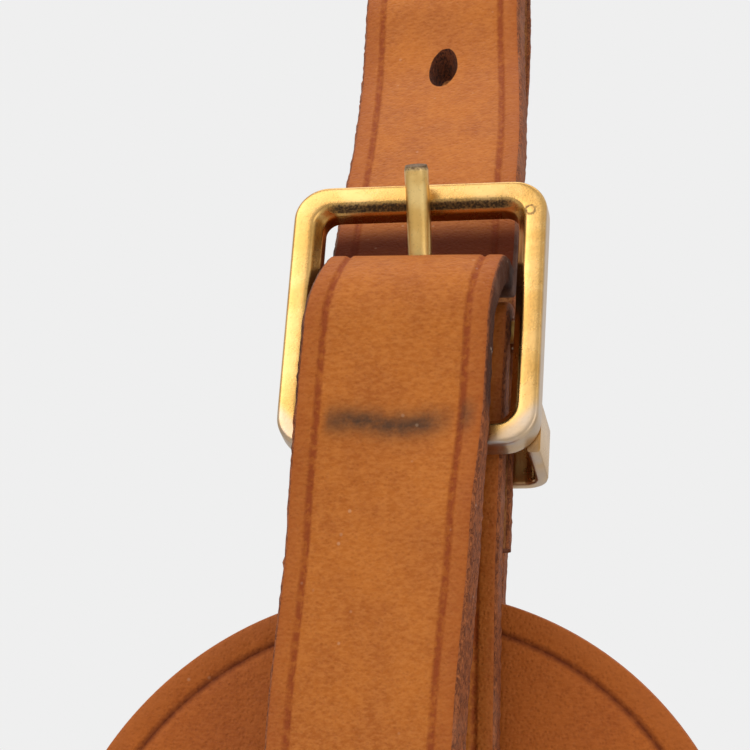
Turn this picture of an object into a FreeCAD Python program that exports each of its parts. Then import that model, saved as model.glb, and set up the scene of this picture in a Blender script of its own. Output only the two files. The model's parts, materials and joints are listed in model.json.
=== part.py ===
import FreeCAD, Part
import math
import os
import Sketcher

# Luggage tag of natural leather: a tag of two stitched panels with a windowed card pocket, and one
# long strap that runs through the tag's slot, round a bag handle and through a gilt buckle.
# Millimetres, +Z up along the tag, the front faces -Y. The origin is the middle of the strap's
# loop, where a bag handle lies. Places are worked out from the middle of the tag's slot, the swivel.

doc = FreeCAD.newDocument("LuggageTag")

# driving sizes
sheet = doc.addObject("Spreadsheet::Sheet", "Sizes")
sizes = [
    # strap
    ("strapWidth", 15.0), ("strapThick", 2.6), ("skivedThick", 1.5),
    ("strapLean", 5.0), ("backLean", 8.0), ("loopLean", 33.0), ("loopFlare", 24.0),
    ("loopRadius", 9.0), ("flareRadius", 24.0), ("backRise", 43.0), ("backBend", 30.0),
    ("archRadius", 4.9), ("archRise", 10.0), ("kneeRadius", 1.0), ("tailLean", 5.0),
    ("tailLength", 46.0), ("tailPoint", 5.0), ("returnLength", 19.0), ("taperLength", 5.0),
    ("stitchSetback", 3.0), ("holePitch", 34.5), ("holeWide", 2.8), ("holeLong", 5.2),
    ("barEyeSlot", 3.4), ("tailBlunt", 5.2), ("foldGap", 0.5), ("eyeHoleDepth", 7.0), ("overcut", 1.0),
    # tag
    ("tagWidth", 60.0), ("tagLength", 108.0), ("tagCorner", 8.0), ("frontThick", 1.5),
    ("backThick", 2.0), ("tagShift", 1.4), ("slotDrop", 17.0), ("slotPlay", 2.5),
    ("slotClear", 0.5), ("slotLip", 0.7), ("swivelGap", 0.35),
    ("windowMargin", 11.0), ("windowDrop", 35.0), ("windowFoot", 17.0), ("windowCorner", 3.0),
    ("paneLap", 3.0), ("paneThick", 0.3), ("cardThick", 0.4), ("cardMargin", 5.0),
    ("cardLap", 3.0), ("cardShift", 2.0), ("cardClear", 0.1), ("pocketClear", 0.5), ("notchRadius", 6.0),
    ("threadRadius", 0.35), ("threadProud", 0.3), ("threadPitch", 5.0), ("threadInset", 3.2),
    # buckle
    ("framePlay", 1.1), ("frameHeight", 25.2), ("frameThick", 2.6), ("frameBar", 2.6),
    ("frameCorner", 3.0), ("innerCorner", 1.2), ("frameEase", 0.7), ("frameTilt", 8.0),
    ("frameRise", 39.2), ("barRadius", 1.0), ("barSetback", 0.5), ("barGap", 0.1), ("lugHeight", 3.4),
    ("lugCover", 0.8), ("lugBlind", 1.2),
    ("tongueRadius", 1.05), ("tongueOver", 0.2), ("eyeRadius", 2.1), ("eyeWidth", 2.2),
    ("hingeGap", 0.12),
    ("keeperThick", 1.1), ("keeperHeight", 4.8), ("keeperRoom", 3.5), ("keeperCorner", 2.2),
    ("keeperPlay", 1.7), ("keeperShift", 0.8), ("keeperDrop", 0.3), ("layGap", 0.15), ("archClear", 0.4),
]
# sizes that follow from others, so that the fits hold when one is changed
tied = [
    ("swivelRadius", "(frontThick + backThick) / 2 + swivelGap"),
    ("slotWidth", "strapWidth + 2 * slotPlay"),
    ("windowWidth", "tagWidth - 2 * windowMargin"),
    ("windowHeight", "tagLength - windowDrop - windowFoot"),
    ("cardWidth", "tagWidth - 2 * cardMargin"),
    ("cardHeight", "windowHeight + 2 * cardLap"),
    ("pocketDepth", "paneThick + cardThick + 3 * cardClear"),
    ("frameWidth", "strapWidth + 2 * (framePlay + frameBar)"),
    ("barRecess", "strapThick + barSetback"),
    ("keeperWidth", "strapWidth + 2 * (keeperPlay + keeperThick)"),
    ("keeperDepth", "strapThick + skivedThick + keeperRoom"),
    ("tongueRise", "frameHeight / 2 - frameBar"),
    ("tongueLift", "frameThick / 2 + barRecess + tongueRadius + layGap"),
    ("tongueStretch", "sqrt(tongueRise ^ 2 + tongueLift ^ 2) / tongueRise"),
    ("tongueLength", "(frameHeight / 2 + tongueOver) * tongueStretch"),
]
for row, (name, rule) in enumerate(sizes + [(name, f"={rule}") for name, rule in tied], start=1):
    sheet.set(f"A{row}", name)
    sheet.set(f"B{row}", str(rule))
    sheet.setAlias(f"B{row}", name)
doc.recompute()
near = 1e-3  # closer than this counts as equal


def size(name):
    return float(sheet.get(name))


def turned(angle):
    # unit vector in the Y-Z plane at an angle in degrees from +Y towards +Z
    return FreeCAD.Vector(0, math.cos(math.radians(angle)), math.sin(math.radians(angle)))


# The course is the flesh side of the leather, seen from the side. Each step is a straight run or a
# bend, with the leather's thickness at its end. The grain side lies to one side of it throughout.
class Course:
    def __init__(self, start, heading, grain, thick):
        self.point = start
        self.heading = heading
        self.grain = grain
        self.thick = thick
        self.flesh = []
        self.outer = []
        self.marks = []

    def side(self):
        return turned(self.heading + 90.0 * self.grain)

    def run(self, length, thick=None):
        start, end = self.point, self.point + turned(self.heading) * length
        self.marks.append((start, self.heading, length, 0.0))
        outer = start + self.side() * self.thick
        self.thick = self.thick if thick is None else thick
        self.flesh.append(Part.LineSegment(start, end).toShape())
        self.outer.append(Part.LineSegment(outer, end + self.side() * self.thick).toShape())
        self.point = end

    def bend(self, radius, angle):
        # positive angles turn from +Y towards +Z; the radius is that of the flesh side
        way = math.copysign(1.0, angle)
        centre = self.point + turned(self.heading + 90.0 * way) * radius
        spoke = self.point - centre
        self.marks.append((self.point, self.heading, radius * math.radians(abs(angle)), way * radius))
        reach = radius + self.thick * (-1.0 if way == self.grain else 1.0)
        ends = []
        for share in (0.0, 0.5, 1.0):
            turn = FreeCAD.Rotation(FreeCAD.Vector(1, 0, 0), angle * share)
            ends.append(turn.multVec(spoke))
        self.flesh.append(Part.Arc(*[centre + e for e in ends]).toShape())
        self.outer.append(Part.Arc(*[centre + e * (reach / radius) for e in ends]).toShape())
        self.heading += angle
        self.point = centre + ends[2]

    def at(self, distance):
        # the flesh side's point and heading at a distance along the course
        for start, heading, length, radius in self.marks:
            if distance <= length:
                break
            distance -= length
        if not radius:
            return start + turned(heading) * distance, heading
        return steps((start, heading), abs(radius), math.degrees(distance / radius))


def steps(place, radius, angle):
    # the point and heading at the end of a bend
    way = math.copysign(1.0, angle)
    centre = place[0] + turned(place[1] + 90.0 * way) * radius
    turn = FreeCAD.Rotation(FreeCAD.Vector(1, 0, 0), angle)
    return centre + turn.multVec(place[0] - centre), place[1] + angle


tagThick = size("frontThick") + size("backThick")
swivel = FreeCAD.Vector(0, 0, 0)
turnRadius = size("swivelRadius")
barWrap = size("barRadius") + size("barGap")
bottom = swivel - FreeCAD.Vector(0, 0, turnRadius)

# front branch: from under the slot, up in front of the tag, over the centre bar and down behind it
front = Course(bottom, 180.0, 1.0, size("strapThick"))
front.bend(turnRadius, -(90.0 - size("strapLean")))
front.run(size("frameRise") - size("taperLength"))
front.run(size("taperLength"), size("skivedThick"))
barCentre = front.point - front.side() * barWrap
# the turned-back layer closes on the front one towards its end
closing = math.degrees(math.asin((2 * barWrap - size("foldGap")) / size("returnLength")))
front.bend(barWrap, -180.0 - closing)
front.run(size("returnLength"))

# buckle frame: its own up and forward directions, and the middle of its opening
tilt = size("frameTilt")
frameTurn = 90.0 - tilt
frameUp = turned(frameTurn)
frameOut = turned(180.0 - tilt)
frameCentre = barCentre + frameOut * size("barRecess")


def framePoint(out, up):
    return frameCentre + frameOut * out + frameUp * up


# back branch: up behind the tag, round the handle, down behind the frame's top bar, over the centre
# bar and down the tail. Its far end is fixed first: the tail lies on the frame's lower lip, and the
# arch over the centre bar clears the fixed fold below it.
halfFrame = size("frameHeight") / 2
halfThick = size("frameThick") / 2
tailHeading = 270.0 + size("tailLean")
archHeading = 180.0 - size("archRise")
downHeading = 270.0 - size("loopLean")
archRadius = size("archRadius")
kneeRadius = size("kneeRadius") + size("strapThick")
lowerLip = framePoint(halfThick + size("layGap"), -halfFrame + size("frameEase"))
foldTop = barCentre.z + barWrap + size("skivedThick") + size("archClear")
lipShare = (foldTop - archRadius - lowerLip.z) / turned(tailHeading).z
archCentre = lowerLip + turned(tailHeading) * lipShare + turned(tailHeading + 90.0) * archRadius
archStart = archCentre - turned(archHeading + 90.0) * archRadius
kneeCentre = archStart + turned(archHeading - 90.0) * kneeRadius
kneeStart = kneeCentre - turned(downHeading - 90.0) * kneeRadius

back = Course(bottom, 0.0, -1.0, size("strapThick"))
back.bend(turnRadius, 90.0 - size("backLean"))
back.run(size("backRise"))
back.bend(size("backBend"), -(size("loopLean") - size("backLean")))
flare = size("loopFlare")
back.bend(size("flareRadius"), -flare)


# the two straight runs beside the loop close it: their lengths solve two linear equations
probe = steps((back.point, back.heading), size("loopRadius"), 180.0 + 2 * flare)
probe = steps(probe, size("flareRadius"), -flare)
gap = kneeStart - probe[0]
first, last = turned(back.heading), turned(downHeading)
area = first.y * last.z - first.z * last.y
firstRun = (gap.y * last.z - gap.z * last.y) / area
lastRun = (first.y * gap.z - first.z * gap.y) / area
back.run(firstRun)
back.bend(size("loopRadius"), 180.0 + 2 * flare)
loopMiddle = back.flesh[-1].Curve.Center
back.bend(size("flareRadius"), -flare)
back.run(lastRun)
# the tongue's hole is in the middle of the knee
kneeTurn = downHeading - archHeading
holeMark = sum(mark[2] for mark in back.marks) + kneeRadius * math.radians(kneeTurn) / 2
back.bend(kneeRadius, -kneeTurn)
back.bend(archRadius, tailHeading - archHeading)
back.run(size("tailLength"))

# the object's origin is the middle of the loop's round part
home = loopMiddle * -1.0


def place(obj, point, angle=0.0):
    turn = FreeCAD.Rotation(FreeCAD.Vector(1, 0, 0), angle)
    obj.Placement = FreeCAD.Placement(point + home, turn)


# strap
def makeStrap():
    width = size("strapWidth")
    edges = front.flesh + front.outer + back.flesh + back.outer
    caps = [(front.point, front.point + front.side() * front.thick),
            (back.point, back.point + back.side() * back.thick)]
    edges += [Part.LineSegment(*cap).toShape() for cap in caps]
    outline = Part.Wire(Part.__sortEdges__(edges))
    band = Part.Face(outline)
    band.translate(FreeCAD.Vector(-width / 2, 0, 0))
    leather = band.extrude(FreeCAD.Vector(width, 0, 0))
    over = size("overcut")
    # the tongue's oval hole, and the spare hole further up the strap
    eye = barCentre + turned(tongueHeading) * eyeReach
    leather = leather.cut(ovalHole(eye, tongueHeading, size("eyeHoleDepth")))
    point, heading = back.at(holeMark - size("holePitch"))
    start = point - turned(heading - 90.0) * over
    leather = leather.cut(ovalHole(start, heading - 90.0, size("strapThick") + 2 * over))
    # a slot in the fold for the tongue's eye
    slot = size("barEyeSlot")
    fold = barWrap + size("skivedThick")
    notch = Part.makeBox(slot, 2 * (fold + over), 2 * fold,
                         barCentre - FreeCAD.Vector(slot / 2, fold + over, fold))
    leather = leather.cut(notch)
    # the tail's end is cut to a blunt point
    drop = size("tailPoint")
    blunt = size("tailBlunt") / 2
    for way in (-1.0, 1.0):
        corner = [(width / 2 + over, drop), (width / 2 + over, -over), (blunt, -over),
                  (blunt, 0.0), (width / 2, drop)]
        points = [FreeCAD.Vector(way * x, back.point.y + over, back.point.z + z) for x, z in corner]
        wedge = Part.Face(Part.makePolygon(points + points[:1]))
        leather = leather.cut(wedge.extrude(FreeCAD.Vector(0, -size("strapThick") - 3 * over, 0)))
    strap = doc.addObject("Part::Feature", "strap")
    strap.Shape = leather
    strap.Label = "strap"
    place(strap, FreeCAD.Vector(0, 0, 0))
    return strap


def ovalHole(start, heading, depth):
    # a prism of an oval, long along the strap, pointing along a heading
    long, wide = size("holeLong"), size("holeWide")
    along = turned(heading + 90.0)
    reach = long / 2 - wide / 2
    side = FreeCAD.Vector(wide / 2, 0, 0)
    ends = [start + along * reach, start - along * reach]
    shape = [
        Part.LineSegment(ends[1] + side, ends[0] + side).toShape(),
        Part.Arc(ends[0] + side, ends[0] + along * wide / 2, ends[0] - side).toShape(),
        Part.LineSegment(ends[0] - side, ends[1] - side).toShape(),
        Part.Arc(ends[1] - side, ends[1] - along * wide / 2, ends[1] + side).toShape(),
    ]
    return Part.Face(Part.Wire(shape)).extrude(turned(heading) * depth)


# sketches
def originPlane(body, role):
    return next(f for f in body.Origin.OriginFeatures if f.Role == role)


def newBody(name):
    body = doc.addObject("PartDesign::Body", name)
    body.Label = name
    return body


def newSketch(body, role, offset=None):
    sketch = body.newObject("Sketcher::SketchObject", "outline")
    sketch.AttachmentSupport = (originPlane(body, role), "")
    sketch.MapMode = "FlatFace"
    if offset:
        sketch.setExpression("AttachmentOffset.Base.z", offset)
    return sketch


def rectangle(sketch, left, right, low, high):
    # four sides held by expressions measured from the sketch's origin
    corners = [(-1, -1), (1, -1), (1, 1), (-1, 1)]
    first = sketch.GeometryCount
    for index in range(4):
        ends = [FreeCAD.Vector(*corners[(index + step) % 4], 0) for step in (0, 1)]
        sketch.addGeometry(Part.LineSegment(*ends), False)
    for index in range(4):
        sketch.addConstraint(
            Sketcher.Constraint("Coincident", first + index, 2, first + (index + 1) % 4, 1))
    for index, kind in enumerate(["Horizontal", "Vertical", "Horizontal", "Vertical"]):
        sketch.addConstraint(Sketcher.Constraint(kind, first + index))
    for kind, vertex, rule in [("DistanceX", 1, left), ("DistanceX", 2, right),
                               ("DistanceY", 1, low), ("DistanceY", 3, high)]:
        edge = first + {1: 0, 2: 1, 3: 2}[vertex]
        mark = sketch.addConstraint(Sketcher.Constraint(kind, -1, 1, edge, 1, 1.0))
        sketch.setExpression(f"Constraints[{mark}]", rule)


def circle(sketch, radius, x="0", y="0"):
    ring = sketch.addGeometry(Part.Circle(FreeCAD.Vector(0, 0, 0), FreeCAD.Vector(0, 0, 1), 1.0), False)
    for kind, rule in [("DistanceX", x), ("DistanceY", y)]:
        mark = sketch.addConstraint(Sketcher.Constraint(kind, -1, 1, ring, 3, 1.0))
        sketch.setExpression(f"Constraints[{mark}]", rule)
    mark = sketch.addConstraint(Sketcher.Constraint("Radius", ring, 1.0))
    sketch.setExpression(f"Constraints[{mark}]", radius)


def pad(body, sketch, length, reverse=False, middle=False):
    feature = body.newObject("PartDesign::Pad", "pad")
    feature.Profile = sketch
    feature.setExpression("Length", length)
    feature.Reversed = reverse
    feature.Midplane = middle
    doc.recompute()
    return feature


def pocket(body, sketch, length, reverse=False, middle=False):
    before = body.Shape.Volume
    feature = body.newObject("PartDesign::Pocket", "pocket")
    feature.Profile = sketch
    feature.setExpression("Length", length)
    feature.Reversed = reverse
    feature.Midplane = middle
    doc.recompute()
    if body.Shape.Volume > before - near:
        raise RuntimeError(f"{body.Label}: a pocket cut nothing")
    return feature


def fillet(body, radius, wanted):
    base = body.Tip
    names = [f"Edge{index}" for index, edge in enumerate(base.Shape.Edges, start=1) if wanted(edge)]
    feature = body.newObject("PartDesign::Fillet", "fillet")
    feature.Base = (base, names)
    feature.setExpression("Radius", radius)
    doc.recompute()
    return feature


def straightAlong(edge, axis):
    # true for a straight edge along one of the body's own axes
    box = edge.BoundBox
    spans = {"X": box.XLength, "Y": box.YLength, "Z": box.ZLength}
    return spans.pop(axis) > near and max(spans.values()) < near


# buckle
frameInner = "Sizes.frameWidth / 2 - Sizes.frameBar"


def makeFrame():
    body = newBody("buckle_frame")
    outer = newSketch(body, "XY_Plane")
    rectangle(outer, "-Sizes.frameWidth / 2", "Sizes.frameWidth / 2",
              "-Sizes.frameHeight / 2", "Sizes.frameHeight / 2")
    pad(body, outer, "Sizes.frameThick", middle=True)
    fillet(body, "Sizes.frameCorner", lambda edge: straightAlong(edge, "Z"))
    inner = newSketch(body, "XY_Plane")
    rectangle(inner, f"-({frameInner})", frameInner, "Sizes.frameBar - Sizes.frameHeight / 2",
              "Sizes.frameHeight / 2 - Sizes.frameBar")
    pocket(body, inner, "Sizes.frameThick * 2", middle=True)
    reach = size("frameWidth") / 2 - size("frameBar")
    fillet(body, "Sizes.innerCorner", lambda edge: straightAlong(edge, "Z")
           and abs(abs(edge.BoundBox.XMin) - reach) < near)
    face = size("frameThick") / 2
    fillet(body, "Sizes.frameEase", lambda edge: edge.BoundBox.ZMin > face - near)
    # lugs behind the side bars carry the centre bar
    lugs = newSketch(body, "XY_Plane", "-Sizes.barRecess - Sizes.barRadius - Sizes.lugCover")
    for left, right in [(f"-Sizes.frameWidth / 2 + Sizes.frameEase", f"-({frameInner})"),
                        (frameInner, "Sizes.frameWidth / 2 - Sizes.frameEase")]:
        rectangle(lugs, left, right, "-Sizes.lugHeight / 2", "Sizes.lugHeight / 2")
    pad(body, lugs, "Sizes.barRecess + Sizes.barRadius + Sizes.lugCover")
    bore = newSketch(body, "YZ_Plane")
    circle(bore, "Sizes.barRadius", "0", "-Sizes.barRecess")
    pocket(body, bore, "Sizes.frameWidth - 2 * Sizes.lugBlind", middle=True)
    place(body, frameCentre, frameTurn)
    return body


def makeCentreBar():
    bar = doc.addObject("Part::Cylinder", "centre_bar")
    bar.Label = "centre_bar"
    bar.setExpression("Radius", "Sizes.barRadius")
    bar.setExpression("Height", "Sizes.frameWidth - 2 * Sizes.lugBlind")
    length = size("frameWidth") - 2 * size("lugBlind")
    turn = FreeCAD.Rotation(FreeCAD.Vector(0, 1, 0), 90.0)
    bar.Placement = FreeCAD.Placement(barCentre + home - FreeCAD.Vector(length / 2, 0, 0), turn)
    return bar


def makeKeeper():
    body = newBody("keeper_loop")
    back = "-Sizes.frameThick / 2"
    outer = newSketch(body, "XZ_Plane")
    rectangle(outer, "-Sizes.keeperWidth / 2", "Sizes.keeperWidth / 2",
              f"{back} - Sizes.keeperDepth", back)
    pad(body, outer, "Sizes.keeperHeight", middle=True)
    inner = newSketch(body, "XZ_Plane")
    rectangle(inner, "Sizes.keeperThick - Sizes.keeperWidth / 2", "Sizes.keeperWidth / 2 - Sizes.keeperThick",
              f"{back} - Sizes.keeperDepth + Sizes.keeperThick", f"{back} + Sizes.overcut")
    pocket(body, inner, "Sizes.keeperHeight * 2", middle=True)
    rear = -halfThick - size("keeperDepth")
    fillet(body, "Sizes.keeperCorner", lambda edge: straightAlong(edge, "Y")
           and edge.BoundBox.ZMax < rear + near)
    fillet(body, "Sizes.keeperCorner - Sizes.keeperThick", lambda edge: straightAlong(edge, "Y")
           and abs(edge.BoundBox.ZMax - rear - size("keeperThick")) < near
           and abs(edge.BoundBox.XMax) < size("keeperWidth") / 2 - near)
    middle = framePoint(0.0, size("keeperHeight") / 2 + size("keeperDrop") - halfFrame)
    place(body, middle + FreeCAD.Vector(size("keeperShift"), 0, 0), frameTurn)
    return body


def makeTongue():
    body = newBody("tongue")
    eye = newSketch(body, "YZ_Plane")
    circle(eye, "Sizes.eyeRadius")
    pad(body, eye, "Sizes.eyeWidth", middle=True)
    wire = newSketch(body, "XY_Plane")
    circle(wire, "Sizes.tongueRadius")
    pad(body, wire, "Sizes.tongueLength")
    bore = newSketch(body, "YZ_Plane")
    circle(bore, "Sizes.barRadius + Sizes.hingeGap")
    pocket(body, bore, "Sizes.eyeWidth * 2", middle=True)
    place(body, barCentre, tongueHeading - 90.0)
    return body


# tag
tagTop = swivel + FreeCAD.Vector(-size("tagShift"), -tagThick / 2, size("slotDrop"))


def tagOutline(body, thick):
    plate = newSketch(body, "XZ_Plane")
    rectangle(plate, "-Sizes.tagWidth / 2", "Sizes.tagWidth / 2", "-Sizes.tagLength", "-Sizes.tagWidth / 2")
    pad(body, plate, thick, reverse=True)
    dome = newSketch(body, "XZ_Plane")
    circle(dome, "Sizes.tagWidth / 2", "0", "-Sizes.tagWidth / 2")
    pad(body, dome, thick, reverse=True)
    low = -size("tagLength")
    fillet(body, "Sizes.tagCorner", lambda edge: straightAlong(edge, "Y")
           and edge.BoundBox.ZMax < low + near)
    slot = newSketch(body, "XZ_Plane")
    rectangle(slot, "-Sizes.slotWidth / 2", "Sizes.slotWidth / 2",
              "-Sizes.slotDrop - Sizes.swivelRadius - Sizes.strapThick - Sizes.slotClear",
              "-Sizes.slotDrop - Sizes.slotLip")
    pocket(body, slot, "Sizes.tagLength", middle=True)
    notch = newSketch(body, "XZ_Plane")
    circle(notch, "Sizes.notchRadius", "Sizes.tagWidth / 2", "-Sizes.windowDrop - Sizes.windowHeight / 2")
    pocket(body, notch, "Sizes.tagLength", middle=True)


def makeTagFront():
    body = newBody("tag_front")
    tagOutline(body, "Sizes.frontThick")
    window = newSketch(body, "XZ_Plane")
    rectangle(window, "-Sizes.windowWidth / 2", "Sizes.windowWidth / 2",
              "-Sizes.windowDrop - Sizes.windowHeight", "-Sizes.windowDrop")
    pocket(body, window, "Sizes.tagLength", middle=True)
    half = size("windowWidth") / 2
    fillet(body, "Sizes.windowCorner", lambda edge: straightAlong(edge, "Y")
           and abs(abs(edge.BoundBox.XMax) - half) < near
           and edge.BoundBox.ZMax < -size("windowDrop") + near)
    place(body, tagTop)
    return body


def makeTagBack():
    body = newBody("tag_back")
    tagOutline(body, "Sizes.backThick")
    recess = newSketch(body, "XZ_Plane")
    rectangle(recess, "-Sizes.cardWidth / 2 + Sizes.cardShift - Sizes.pocketClear", "Sizes.tagWidth",
              "-Sizes.windowDrop - Sizes.windowHeight / 2 - Sizes.cardHeight / 2 - Sizes.pocketClear",
              "-Sizes.windowDrop - Sizes.windowHeight / 2 + Sizes.cardHeight / 2 + Sizes.pocketClear")
    pocket(body, recess, "Sizes.pocketDepth * 2", middle=True)
    place(body, tagTop + FreeCAD.Vector(0, size("frontThick"), 0))
    return body


def makeSheetPiece(name, wide, high, shift, thick, depth):
    # a thin flat piece centred behind the window
    body = newBody(name)
    outline = newSketch(body, "XZ_Plane")
    middle = "Sizes.windowDrop + Sizes.windowHeight / 2"
    rectangle(outline, f"{shift} - ({wide}) / 2", f"{shift} + ({wide}) / 2",
              f"-({middle}) - ({high}) / 2", f"-({middle}) + ({high}) / 2")
    pad(body, outline, thick, reverse=True)
    place(body, tagTop + FreeCAD.Vector(0, depth, 0))
    return body


def makeThreads(name, places, direction, length):
    # one short pin of thread for each stitch, gathered in one piece
    pins = []
    for start in places:
        pin = doc.addObject("Part::Cylinder", f"{name}_pin")
        pin.setExpression("Radius", "Sizes.threadRadius")
        pin.Height = length
        turn = FreeCAD.Rotation(FreeCAD.Vector(0, 0, 1), direction)
        pin.Placement = FreeCAD.Placement(start + home, turn)
        pins.append(pin)
    group = doc.addObject("Part::Compound", name)
    group.Label = name
    group.Links = pins
    return group


def evenly(low, high, pitch):
    count = max(1, round((high - low) / pitch))
    return [low + (high - low) * step / count for step in range(count + 1)]


def makeTagStitches():
    inset = size("threadInset")
    middle = size("windowDrop") + size("windowHeight") / 2
    reach = size("cardHeight") / 2 + size("pocketClear") + inset
    left = -size("cardWidth") / 2 + size("cardShift") - size("pocketClear") - inset / 2
    pitch = size("threadPitch")
    places = [(left, z) for z in evenly(-middle - reach, -middle + reach, pitch)]
    for z in (-middle - reach, -middle + reach):
        places += [(x, z) for x in evenly(left, -left, pitch)[1:]]
    proud = size("threadProud")
    points = [tagTop + FreeCAD.Vector(x, -proud, z) for x, z in places]
    return makeThreads("tag_stitches", points, FreeCAD.Vector(0, 1, 0), tagThick + 2 * proud)


def makeStrapStitches():
    # one row across the strap near the end of the turned-back layer
    low = sum(mark[2] for mark in front.marks[:3]) - size("returnLength") + size("stitchSetback")
    point, heading = front.at(low)
    outward = turned(heading + 90.0)
    start = point + outward * (size("strapThick") + size("threadProud"))
    reach = size("strapWidth") / 2 - size("threadInset")
    places = [start + FreeCAD.Vector(x, 0, 0) for x in evenly(-reach, reach, size("threadPitch") / 2)]
    depth = size("strapThick") + size("skivedThick") + 2 * size("threadProud") + size("foldGap")
    return makeThreads("strap_stitches", places, outward * -1.0, depth)


# the tongue lies over the top bar's front, from the centre bar
tongueHeading = frameTurn + math.degrees(math.atan2(size("tongueLift"), size("tongueRise")))
eyeReach = barWrap + size("skivedThick") + size("archClear") / 2

nodes = [
    makeStrap(),
    makeFrame(),
    makeCentreBar(),
    makeKeeper(),
    makeTongue(),
    makeTagFront(),
    makeTagBack(),
    makeSheetPiece("window_pane", "Sizes.windowWidth + 2 * Sizes.paneLap",
                   "Sizes.windowHeight + Sizes.paneLap * 2", "0", "Sizes.paneThick", size("frontThick")),
    makeSheetPiece("name_card", "Sizes.cardWidth", "Sizes.cardHeight", "Sizes.cardShift",
                   "Sizes.cardThick", size("frontThick") + size("paneThick") + size("cardClear")),
    makeTagStitches(),
    makeStrapStitches(),
]
doc.recompute()

# checks and files
for obj in doc.Objects:
    if "Invalid" in obj.State or "Error" in obj.State:
        raise RuntimeError(f"{obj.Label} failed: {obj.State}")
for node in nodes:
    if node.Shape.isNull() or not node.Shape.isValid():
        raise RuntimeError(f"{node.Label} has no valid shape")

os.makedirs("parts", exist_ok=True)
for node in nodes:
    node.Shape.exportStep(f"parts/{node.Label}.step")
    box = node.Shape.BoundBox
    print(f"{node.Label:16s} solids {len(node.Shape.Solids):3d}  volume {node.Shape.Volume:9.1f}"
          f"  y {box.YMin:7.2f} {box.YMax:7.2f}  z {box.ZMin:7.2f} {box.ZMax:7.2f}")

print("mounts and axes, measured from the origin")
for name, point in [("swivel", swivel), ("centre bar", barCentre), ("frame middle", frameCentre),
                    ("tag top", tagTop), ("tail end", back.point), ("loop middle", loopMiddle)]:
    print(f"  {name:14s} {tuple(round(c, 3) for c in point + home)}")
print("  tongue heading", round(tongueHeading, 2), "runs", round(firstRun, 2), round(lastRun, 2))
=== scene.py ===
import json
import math
import bpy
import bmesh
from mathutils import Matrix, Vector, noise
from mathutils.geometry import delaunay_2d_cdt


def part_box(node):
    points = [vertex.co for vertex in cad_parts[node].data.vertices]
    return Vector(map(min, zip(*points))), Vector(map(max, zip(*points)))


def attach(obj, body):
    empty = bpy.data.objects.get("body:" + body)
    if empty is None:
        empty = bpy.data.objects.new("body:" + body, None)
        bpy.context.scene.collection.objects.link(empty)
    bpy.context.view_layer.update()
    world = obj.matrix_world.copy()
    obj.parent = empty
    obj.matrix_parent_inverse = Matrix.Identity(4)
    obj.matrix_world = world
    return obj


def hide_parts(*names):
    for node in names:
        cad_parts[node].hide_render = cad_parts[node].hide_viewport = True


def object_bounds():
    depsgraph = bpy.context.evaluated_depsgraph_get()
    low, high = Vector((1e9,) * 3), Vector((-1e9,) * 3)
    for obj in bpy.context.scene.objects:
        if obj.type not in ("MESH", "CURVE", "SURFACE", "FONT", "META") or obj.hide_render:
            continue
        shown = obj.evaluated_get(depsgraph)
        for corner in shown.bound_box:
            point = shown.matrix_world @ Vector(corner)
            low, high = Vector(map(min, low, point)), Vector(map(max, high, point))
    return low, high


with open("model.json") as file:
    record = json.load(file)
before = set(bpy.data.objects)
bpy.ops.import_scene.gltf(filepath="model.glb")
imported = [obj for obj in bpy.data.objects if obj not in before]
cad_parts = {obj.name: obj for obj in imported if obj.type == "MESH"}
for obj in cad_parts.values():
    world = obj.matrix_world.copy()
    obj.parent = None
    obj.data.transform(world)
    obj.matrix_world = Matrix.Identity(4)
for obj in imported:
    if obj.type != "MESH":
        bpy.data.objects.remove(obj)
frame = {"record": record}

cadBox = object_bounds()
mm = 0.001
joints = {joint["name"]: joint for joint in frame["record"]["behaviour"]["joints"]}
swivel = Vector(joints["tag_swing"]["pos_m"])
barCentre = Vector(joints["tongue_hinge"]["pos_m"])


# small helpers


def mixed(a, b, share):
    return a + (b - a) * share


def smooth(low, high, value):
    share = min(1.0, max(0.0, (value - low) / (high - low)))
    return share * share * (3 - 2 * share)


def srgb(red, green, blue):
    parts = [c / 255.0 for c in (red, green, blue)]
    return tuple(c / 12.92 if c <= 0.04045 else ((c + 0.055) / 1.055) ** 2.4 for c in parts) + (1.0,)


def turned(angle):
    # unit vector in the side plane, from the back (+Y) round towards the top (+Z)
    return Vector((0, math.cos(math.radians(angle)), math.sin(math.radians(angle))))


def meshPiece(name, vertices, faces):
    mesh = bpy.data.meshes.new(name)
    mesh.from_pydata([tuple(v) for v in vertices], [], faces)
    mesh.validate()
    for polygon in mesh.polygons:
        polygon.use_smooth = True
    piece = bpy.data.objects.new(name, mesh)
    bpy.context.scene.collection.objects.link(piece)
    return piece


def loft(name, rings, closed=False):
    # rings of equal count joined one to the next, ends capped with a face unless they close on themselves
    count, around = len(rings), len(rings[0])
    vertices = [v for ring in rings for v in ring]
    faces = []
    for row in range(count if closed else count - 1):
        following = (row + 1) % count
        for column in range(around):
            beside = (column + 1) % around
            faces.append((row * around + column, row * around + beside,
                          following * around + beside, following * around + column))
    if not closed:
        faces.append(tuple(range(around))[::-1])
        faces.append(tuple((count - 1) * around + column for column in range(around)))
    return meshPiece(name, vertices, faces)


def outward(piece):
    work = bmesh.new()
    work.from_mesh(piece.data)
    bmesh.ops.recalc_face_normals(work, faces=work.faces)
    work.to_mesh(piece.data)
    work.free()


def applyModifiers(piece):
    # the evaluated mesh takes the place of the piece's own
    graph = bpy.context.evaluated_depsgraph_get()
    result = bpy.data.meshes.new_from_object(piece.evaluated_get(graph), depsgraph=graph,
                                             preserve_all_data_layers=True)
    piece.modifiers.clear()
    piece.data = result
    return piece


def giveMaterials(piece, *materials):
    for material in materials:
        piece.data.materials.append(material)


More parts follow.
